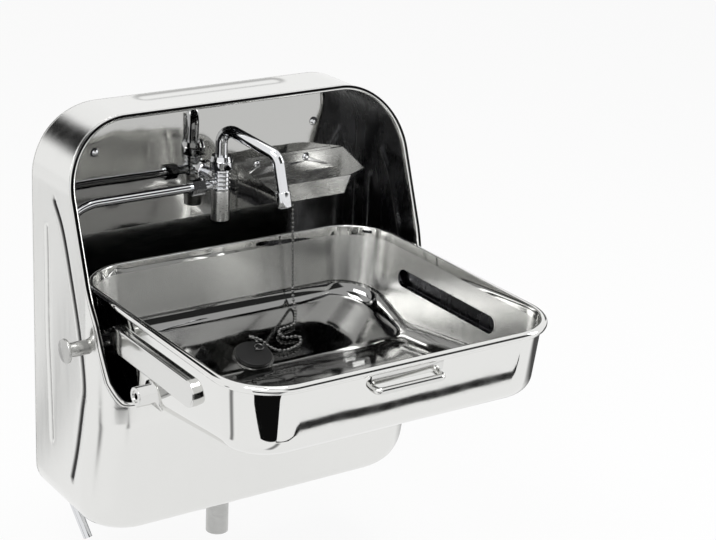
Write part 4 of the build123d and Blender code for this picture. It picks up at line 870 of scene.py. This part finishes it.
inletProfile = [(0, 5.0), (tap["inletRadius"], 5.0), (tap["inletRadius"], tap["inletReach"]), (0, tap["inletReach"])]
spindleProfile = [(0, tap["bodyBottom"] - 16), (tap["spindle"], tap["bodyBottom"] - 16), (tap["spindle"], tap["bodyBottom"] + 2), (0, tap["bodyBottom"] + 2)]
makePiece("tapBodyTurned", [
    (lathe(softProfile(bodyProfile, 0.35, 3), tapCentre, (0, 0, 1)), True),
    (lathe(softProfile(shankProfile, 0.5), (0, 0, tap["shankHeight"]), (0, -1, 0), 48), True),
    (lathe(softProfile(inletProfile, 0.5), (0, tap["y"], tap["inletHeight"]), (-1, 0, 0), 48), True),
    (lathe(spindleProfile, tapCentre, (0, 0, 1), 40), True),
], "tap_body", sharp=30.0)
handleProfile = [
    (0, tap["handleBottom"]), (tap["radius"], tap["handleBottom"]), (tap["radius"], tap["handleTop"]),
    (tap["spindle"] + 0.05, tap["handleTop"]), (tap["spindle"] + 0.05, tap["handleTop"] - 18), (0, tap["handleTop"] - 18),
]
makePiece("tapHandleTurned", [(lathe(softProfile(handleProfile, 0.9), tapCentre, (0, 0, 1)), True)], "tap_handle", sharp=40.0)

spout = {
    "turn": 25.0, "radius": 6.5, "bore": 5.5, "foot": 351.0, "crown": 406.4, "bend": (70.1, 385.9), "tip": (81.0, 333.0),
    "firstBend": 13.8, "secondBend": 12.3, "sleeveRadius": 8.0, "sleeveLength": 17.0,
}
turnAngle = math.radians(spout["turn"])
spoutAhead = np.array([math.sin(turnAngle), -math.cos(turnAngle), 0])
spoutAcross = np.array([-math.cos(turnAngle), -math.sin(turnAngle), 0])


def spoutPoint(reach, height):
    return np.array([0, tap["y"], 0]) + spoutAhead * reach + np.array([0, 0, height])


tip, bend = spoutPoint(*spout["tip"]), spoutPoint(*spout["bend"])
spoutDrop = unit(tip - bend)
sleeveTop = tip - spoutDrop * spout["sleeveLength"]
spoutPath = filletPath(
    [spoutPoint(0, spout["foot"]), spoutPoint(0, spout["crown"]), bend, sleeveTop],
    [spout["firstBend"], spout["secondBend"]], 22,
)
makePiece("spoutTube", [(pipeGrid(spoutPath, spout["radius"], spout["bore"], spoutAcross, 40), True)], "tap_spout", sharp=50.0)
sleeve = [(5.5, 0), (8.0, 0), (8.0, spout["sleeveLength"]), (5.5, spout["sleeveLength"]), (5.5, 0)]
makePiece("spoutSleeve", [(lathe(softProfile(sleeve, 0.8), sleeveTop, spoutDrop, 48), True)], "spout_outlet", sharp=40.0)

supply = {
    "y": -40.0, "height": 343.0, "startX": -30.0, "sideX": -191.0, "kneeZ": 55.0, "end": (-178.0, -80.0, -14.0),
    "topBend": 45.0, "lowBend": 40.0, "radius": 5.0, "bore": 4.0,
}
pipePath = filletPath(
    [(supply["startX"], supply["y"], supply["height"]), (supply["sideX"], supply["y"], supply["height"]),
     (supply["sideX"], supply["y"], supply["kneeZ"]), supply["end"]], [supply["topBend"], supply["lowBend"]], 20,
)
makePiece("supplyTube", [(pipeGrid(pipePath, supply["radius"], supply["bore"], (0, 1, 0), 32), True)], "supply_pipe", sharp=50.0)

# ---- front handle, its rod bent from bar and welded to the wall
handle = {
    "left": -44.5, "right": 29.5, "wallY": -394.2, "rodY": -404.0, "height": 255.5, "radius": 3.5, "bend": 5.0,
}
rodPath = filletPath(
    [(handle["left"], handle["wallY"], handle["height"]), (handle["left"], handle["rodY"], handle["height"]),
     (handle["right"], handle["rodY"], handle["height"]), (handle["right"], handle["wallY"], handle["height"])],
    [handle["bend"]] * 2, 12,
)
rodRadii = np.full(len(rodPath) + 2, handle["radius"])
rodRadii[[0, -1]] = 0
rodPath = np.concatenate([rodPath[:1] + (0, 0.01, 0), rodPath, rodPath[-1:] + (0, 0.01, 0)])
makePiece("handleBar", [(sweep(rodPath, rodRadii, (0, 0, 1)), True)], "handle_rod", sharp=50.0)
print("tap, pipes and handle made")

# ---- turned and plain pieces that keep the CAD's shape, shaded smooth
for node in (
    "tap_collar_nut", "tap_wall_flange", "tap_lock_nut", "supply_union_nut", "mirror_panel_screws", "soap_dish_screws",
    "drain_outlet", "drain_locknut", "latch_barrel", "latch_locknut", "latch_pin", "latch_knob", "latch_spring",
    "hinge_fixed_leaf", "hinge_moving_leaf", "hinge_pin", "closed_strike", "open_strike", "handle_plate",
    "bowl_drain_ring", "sink_plug", "plug_eye", "plug_ring", "chain_eyelet", "back_plate", "mirror_panel",
):
    smoothCopy(node)
dish = smoothCopy("soap_dish", sharp=9.0)    # folded flat faces, crisp at their folds
dish.data.materials.clear()
dish.data.materials.append(foldedStainless)
# raised ring on the strike's face
strikeRing = {"y": -210.0, "z": 204.5, "face": -190.4, "proud": 1.3, "inner": 6.0, "outer": 9.4}
ringProfile = [
    (strikeRing["inner"], 0), (strikeRing["outer"], 0), (strikeRing["outer"], strikeRing["proud"]),
    (strikeRing["inner"], strikeRing["proud"]), (strikeRing["inner"], 0),
]
makePiece(
    "strikeRing", [(lathe(softProfile(ringProfile, 0.6), (strikeRing["face"], strikeRing["y"], strikeRing["z"]), (-1, 0, 0)), True)],
    None, sharp=50.0, body=nodeBodies["closed_strike"], slot=nodeSlots["closed_strike"],
)
print("plain pieces smoothed")

# ---- bead chain: one length hangs from the dish, one lies in the bowl
chain = {
    "bead": 3.6, "pitch": 4.9, "wire": 0.5,
    "hanging": [(74.0, -67.0, 317.0), (74.5, -68.6, 283.0), (74.6, -69.6, 250.0), (75.2, -71.0, 219.0)],
    "lying": [
        (75.2, -71.0, 219.0), (75.41, -71.5, 208.0), (72.0, -83.5, 202.0), (64.5, -95.0, 198.0), (56.5, -106.5, 194.2),
        (44.0, -107.6, 193.8), (33.0, -108.8, 193.4), (31.5, -121.2, 189.3), (42.0, -122.4, 188.9),
        (52.5, -123.4, 188.6), (47.5, -134.2, 185.0), (34.0, -138.6, 183.6), (19.5, -140.0, 183.1),
        (9.8, -130.2, 186.6), (7.6, -117.5, 190.8), (-1.2, -110.8, 193.4), (-6.0, -116.5, 196.4),
        (-5.6, -122.5, 197.2), (-3.4, -126.3, 195.0), (-2.6, -126.05, 191.76),
    ],
}


def routePoints(name, points):
    # the cord's own line: points read off a NURBS curve that has no bevel
    curve = bpy.data.curves.new(name, "CURVE")
    curve.dimensions = "3D"
    curve.resolution_u = 24
    line = curve.splines.new("NURBS")
    line.points.add(len(points) - 1)
    for knot, place in zip(line.points, points):
        knot.co = (*[value * mm for value in place], 1.0)
    line.order_u = 3
    line.use_endpoint_u = True
    holder = bpy.data.objects.new(name, curve)
    bpy.context.scene.collection.objects.link(holder)
    graph = bpy.context.evaluated_depsgraph_get()
    mesh = bpy.data.meshes.new_from_object(holder.evaluated_get(graph))
    path = np.array([vertex.co for vertex in mesh.vertices]) / mm
    bpy.data.meshes.remove(mesh)
    bpy.data.objects.remove(holder)
    return path


def beadGrids(path, spec):
    # balls at even steps along the route, a thin wire through them all
    lengths = np.concatenate([[0], np.cumsum(np.linalg.norm(np.diff(path, axis=0), axis=1))])
    count = max(int(round((lengths[-1] - spec["bead"]) / spec["pitch"])), 1)
    marks = np.linspace(spec["bead"] / 2, lengths[-1] - spec["bead"] / 2, count + 1)
    centres = np.stack([np.interp(marks, lengths, path[:, k]) for k in range(3)], axis=-1)
    polar = np.linspace(0, math.pi, 9)[:, None]
    around = np.linspace(0, 2 * math.pi, 12, endpoint=False)[None, :]
    ball = spec["bead"] / 2 * np.stack(
        [np.sin(polar) * np.cos(around), np.sin(polar) * np.sin(around), np.cos(polar) + 0 * around], axis=-1
    )
    return [(centre + ball, True) for centre in centres], lengths[-1]


for name, points, node, far in (
    ("hangingChain", chain["hanging"], "chain_hanging", "object"), ("lyingChain", chain["lying"], "chain_lying", "object"),
):
    route = routePoints(name, points)
    balls, length = beadGrids(route, chain)
    steps = alongPath(route, 2.0)
    reference = (1, 0, 0) if node == "chain_hanging" else (0, 0.6, 0.8)
    radii = np.full(len(steps), chain["wire"])
    radii[[0, -1]] = 0.0
    beads = makePiece(name, balls + [(sweep(steps, radii, reference, 6), True)], node, sharp=60.0)
    print(name, "length", round(length, 1))
print("chain made")

# ---- floor, light and the dark cards that polished metal needs
studio = {
    "floorZ": -110.0, "floorSize": 9000.0, "floorTone": "#f4f4f4", "floorSeen": 1.0, "floorShare": 0.88,
    "worldTone": "#ffffff", "worldLight": 0.55,
}
floorMaterial, floorTree = newMaterial("paleFloor")
floorRays = addNode(floorTree, "ShaderNodeLightPath")
floorSeen = addNode(
    floorTree, "ShaderNodeMath", {"operation": "MAXIMUM"},
    {0: floorRays.outputs["Is Camera Ray"], 1: floorRays.outputs["Is Glossy Ray"]},
)
floorMatt = addNode(floorTree, "ShaderNodeBsdfDiffuse", {"Color": linear(studio["floorTone"])})
floorGlow = addNode(floorTree, "ShaderNodeEmission", {"Color": linear("#ffffff"), "Strength": studio["floorSeen"]})
floorShare = addNode(
    floorTree, "ShaderNodeMath", {"operation": "MULTIPLY", 1: studio["floorShare"]}, {0: floorSeen.outputs["Value"]}
)
floorMix = addNode(
    floorTree, "ShaderNodeMixShader", {},
    {0: floorShare.outputs["Value"], 1: floorMatt.outputs["BSDF"], 2: floorGlow.outputs["Emission"]},
)
addNode(floorTree, "ShaderNodeOutputMaterial", {}, {"Surface": floorMix.outputs["Shader"]})


def stagePiece(name, corners, material, soft=None):
    # a flat piece of the studio between four corners; a flag is only there in reflections, and fades towards its edges
    steps = np.linspace(0, 1, 2 if soft is None else 17)
    u, v = np.meshgrid(steps, steps, indexing="ij")
    a, b, c, d = [np.array(corner, float) for corner in corners]
    grid = (
        a * ((1 - u) * (1 - v))[..., None] + b * (u * (1 - v))[..., None] + c * (u * v)[..., None]
        + d * ((1 - u) * v)[..., None]
    )
    mesh = bpy.data.meshes.new(name)
    mesh.from_pydata((grid.reshape(-1, 3) * mm).tolist(), [], gridFaces(len(steps), len(steps), False).tolist())
    mesh.materials.append(material)
    piece = bpy.data.objects.new(name, mesh)
    if soft is not None:
        cover = [np.clip(np.minimum(w, 1 - w) / max(edge, 1e-6), 0, 1) for w, edge in ((u, soft[0]), (v, soft[1]))]
        cover = (cover[0] ** 2 * (3 - 2 * cover[0])) * (cover[1] ** 2 * (3 - 2 * cover[1])) * soft[2]
        if soft[0] == 0 and soft[1] == 0:
            cover = 0 * u + soft[2]
        mesh.attributes.new("cover", "FLOAT", "POINT").data.foreach_set("value", cover.reshape(-1).astype(np.float32))
        piece.visible_camera = False
        piece.visible_shadow = False
        piece.visible_diffuse = False
    bpy.context.scene.collection.objects.link(piece)


reach, level = studio["floorSize"] / 2, studio["floorZ"]
stagePiece("floor", [(-reach, -reach, level), (reach, -reach, level), (reach, reach, level), (-reach, reach, level)], floorMaterial)

world = bpy.data.worlds.new("paleRoom")
world.use_nodes = True
bpy.context.scene.world = world
worldTree = world.node_tree
worldTree.nodes.clear()
rays = addNode(worldTree, "ShaderNodeLightPath")
seen = addNode(worldTree, "ShaderNodeMath", {"operation": "MAXIMUM"}, {0: rays.outputs["Is Camera Ray"], 1: rays.outputs["Is Glossy Ray"]})
seenAll = addNode(worldTree, "ShaderNodeMath", {"operation": "MAXIMUM"}, {0: seen.outputs["Value"], 1: rays.outputs["Is Transmission Ray"]})
lightLevel = addNode(
    worldTree, "ShaderNodeMapRange", {"To Min": studio["worldLight"], "To Max": 1.0}, {"Value": seenAll.outputs["Value"]}
)
sky = addNode(worldTree, "ShaderNodeBackground", {"Color": linear(studio["worldTone"])}, {"Strength": lightLevel.outputs["Result"]})
addNode(worldTree, "ShaderNodeOutputWorld", {}, {"Surface": sky.outputs["Background"]})

lamps = [
    {"name": "keySoftbox", "place": (-1500, -1200, 2300), "aim": (0, -150, 250), "size": (1400, 900), "watts": 26},
    {"name": "rightSoftbox", "place": (2100, -1300, 1300), "aim": (0, -150, 250), "size": (700, 1500), "watts": 16},
    {"name": "topSoftbox", "place": (200, -300, 2400), "aim": (0, -200, 250), "size": (1400, 500), "watts": 14},
]
for lamp in lamps:
    light = bpy.data.lights.new(lamp["name"], "AREA")
    light.shape = "RECTANGLE"
    light.size, light.size_y = lamp["size"][0] * mm, lamp["size"][1] * mm
    light.energy = lamp["watts"]
    lightObject = bpy.data.objects.new(lamp["name"], light)
    lightObject.location = Vector(lamp["place"]) * mm
    away = Vector(lamp["place"]) - Vector(lamp["aim"])
    lightObject.rotation_euler = away.to_track_quat("Z", "Y").to_euler()
    bpy.context.scene.collection.objects.link(lightObject)

# black and grey flags: polished metal shows its form only where something dark is reflected in it
flagTones = {"black": "#101010", "dark": "#3a3a3a", "grey": "#8c8c8c"}
flagMaterials = {}
for name, tone in flagTones.items():
    flagMaterials[name], flagTree = newMaterial(name + "Flag")
    flagShader = addNode(flagTree, "ShaderNodeEmission", {"Color": linear(tone), "Strength": 1.0})
    flagClear = addNode(flagTree, "ShaderNodeBsdfTransparent")
    flagCover = addNode(flagTree, "ShaderNodeAttribute", {"attribute_name": "cover"})
    flagMix = addNode(
        flagTree, "ShaderNodeMixShader", {},
        {0: flagCover.outputs["Fac"], 1: flagClear.outputs["BSDF"], 2: flagShader.outputs["Emission"]},
    )
    addNode(flagTree, "ShaderNodeOutputMaterial", {}, {"Surface": flagMix.outputs["Shader"]})


def flagCorners(aim, azimuth, elevation, distance, size):
    # a flag that faces its aim: azimuth turns from +X to +Y, size is its width and height as seen from the aim
    a, e = math.radians(azimuth), math.radians(elevation)
    away = np.array([math.cos(e) * math.cos(a), math.cos(e) * math.sin(a), math.sin(e)])
    across = unit(np.cross((0, 0, 1), away))
    up = np.cross(away, across)
    place = np.array(aim, float) + away * distance
    return [place + across * sx * size[0] / 2 + up * sy * size[1] / 2 for sx, sy in ((-1, -1), (1, -1), (1, 1), (-1, 1))]


# soft: how much of each side fades out, and how dense the flag is
flags = [
    {"name": "archFlag", "tone": "black", "aim": (-190, -40, 420), "azimuth": 113, "elevation": 30,
     "distance": 2200, "size": (1700, 1500), "soft": (0.25, 0.25, 1.0)},
    {"name": "rightFlag", "tone": "dark", "aim": (180, -380, 240), "azimuth": 38, "elevation": 8,
     "distance": 1800, "size": (700, 700), "soft": (0.15, 0.15, 1.0)},
    {"name": "frontFlag", "tone": "black", "aim": (0, -200, 220), "azimuth": -58, "elevation": 26,
     "distance": 2400, "size": (3400, 1750), "soft": (0.12, 0.1, 0.95)},
    {"name": "overheadFlag", "tone": "dark", "aim": (0, -200, 200), "azimuth": 250, "elevation": 72,
     "distance": 2200, "size": (900, 900), "soft": (0.2, 0.2, 1.0)},
]
for flag in flags:
    corners = flagCorners(flag["aim"], flag["azimuth"], flag["elevation"], flag["distance"], flag["size"])
    stagePiece(flag["name"], corners, flagMaterials[flag["tone"]], flag["soft"])
# flags that lie just over the floor
level = studio["floorZ"] + 2
floorFlags = [
    ("bowlCornerFlag", "black", [(-592, -632), (-200, -782), (-60, -2400), (-1900, -1500)], (0, 0, 1.0)),
    ("bowlEdgeFlag", "black", [(-205, -764), (580, -767), (580, -781), (-205, -782)], (0, 0, 1.0)),
    ("behindFlag", "black", [(250, 60), (640, -520), (3200, -300), (1300, 3600)], (0.15, 0.12, 0.92)),
    ("sideCornerFlag", "dark", [(-440, -90), (-830, -70), (-830, -260), (-440, -200)], (0.2, 0.45, 0.8)),
    ("frontCornerFlag", "dark", [(-205, -400), (-215, -760), (-95, -760), (-110, -400)], (0.2, 0.45, 0.8)),
    ("hoodSideFlag", "grey", [(-290, 150), (-1140, 1488), (-1060, 1500), (-220, 180)], (0.2, 0.5, 0.8)),
    ("hoodRearFlag", "grey", [(-140, 190), (-960, 1480), (-900, 1500), (-100, 230)], (0.2, 0.5, 0.6)),
]
for lift, (name, tone, corners, soft) in enumerate(floorFlags):
    stagePiece(name, [(x, y, level + lift) for x, y in corners], flagMaterials[tone], soft)

bpy.context.scene.view_settings.view_transform = "Standard"
print("studio set")
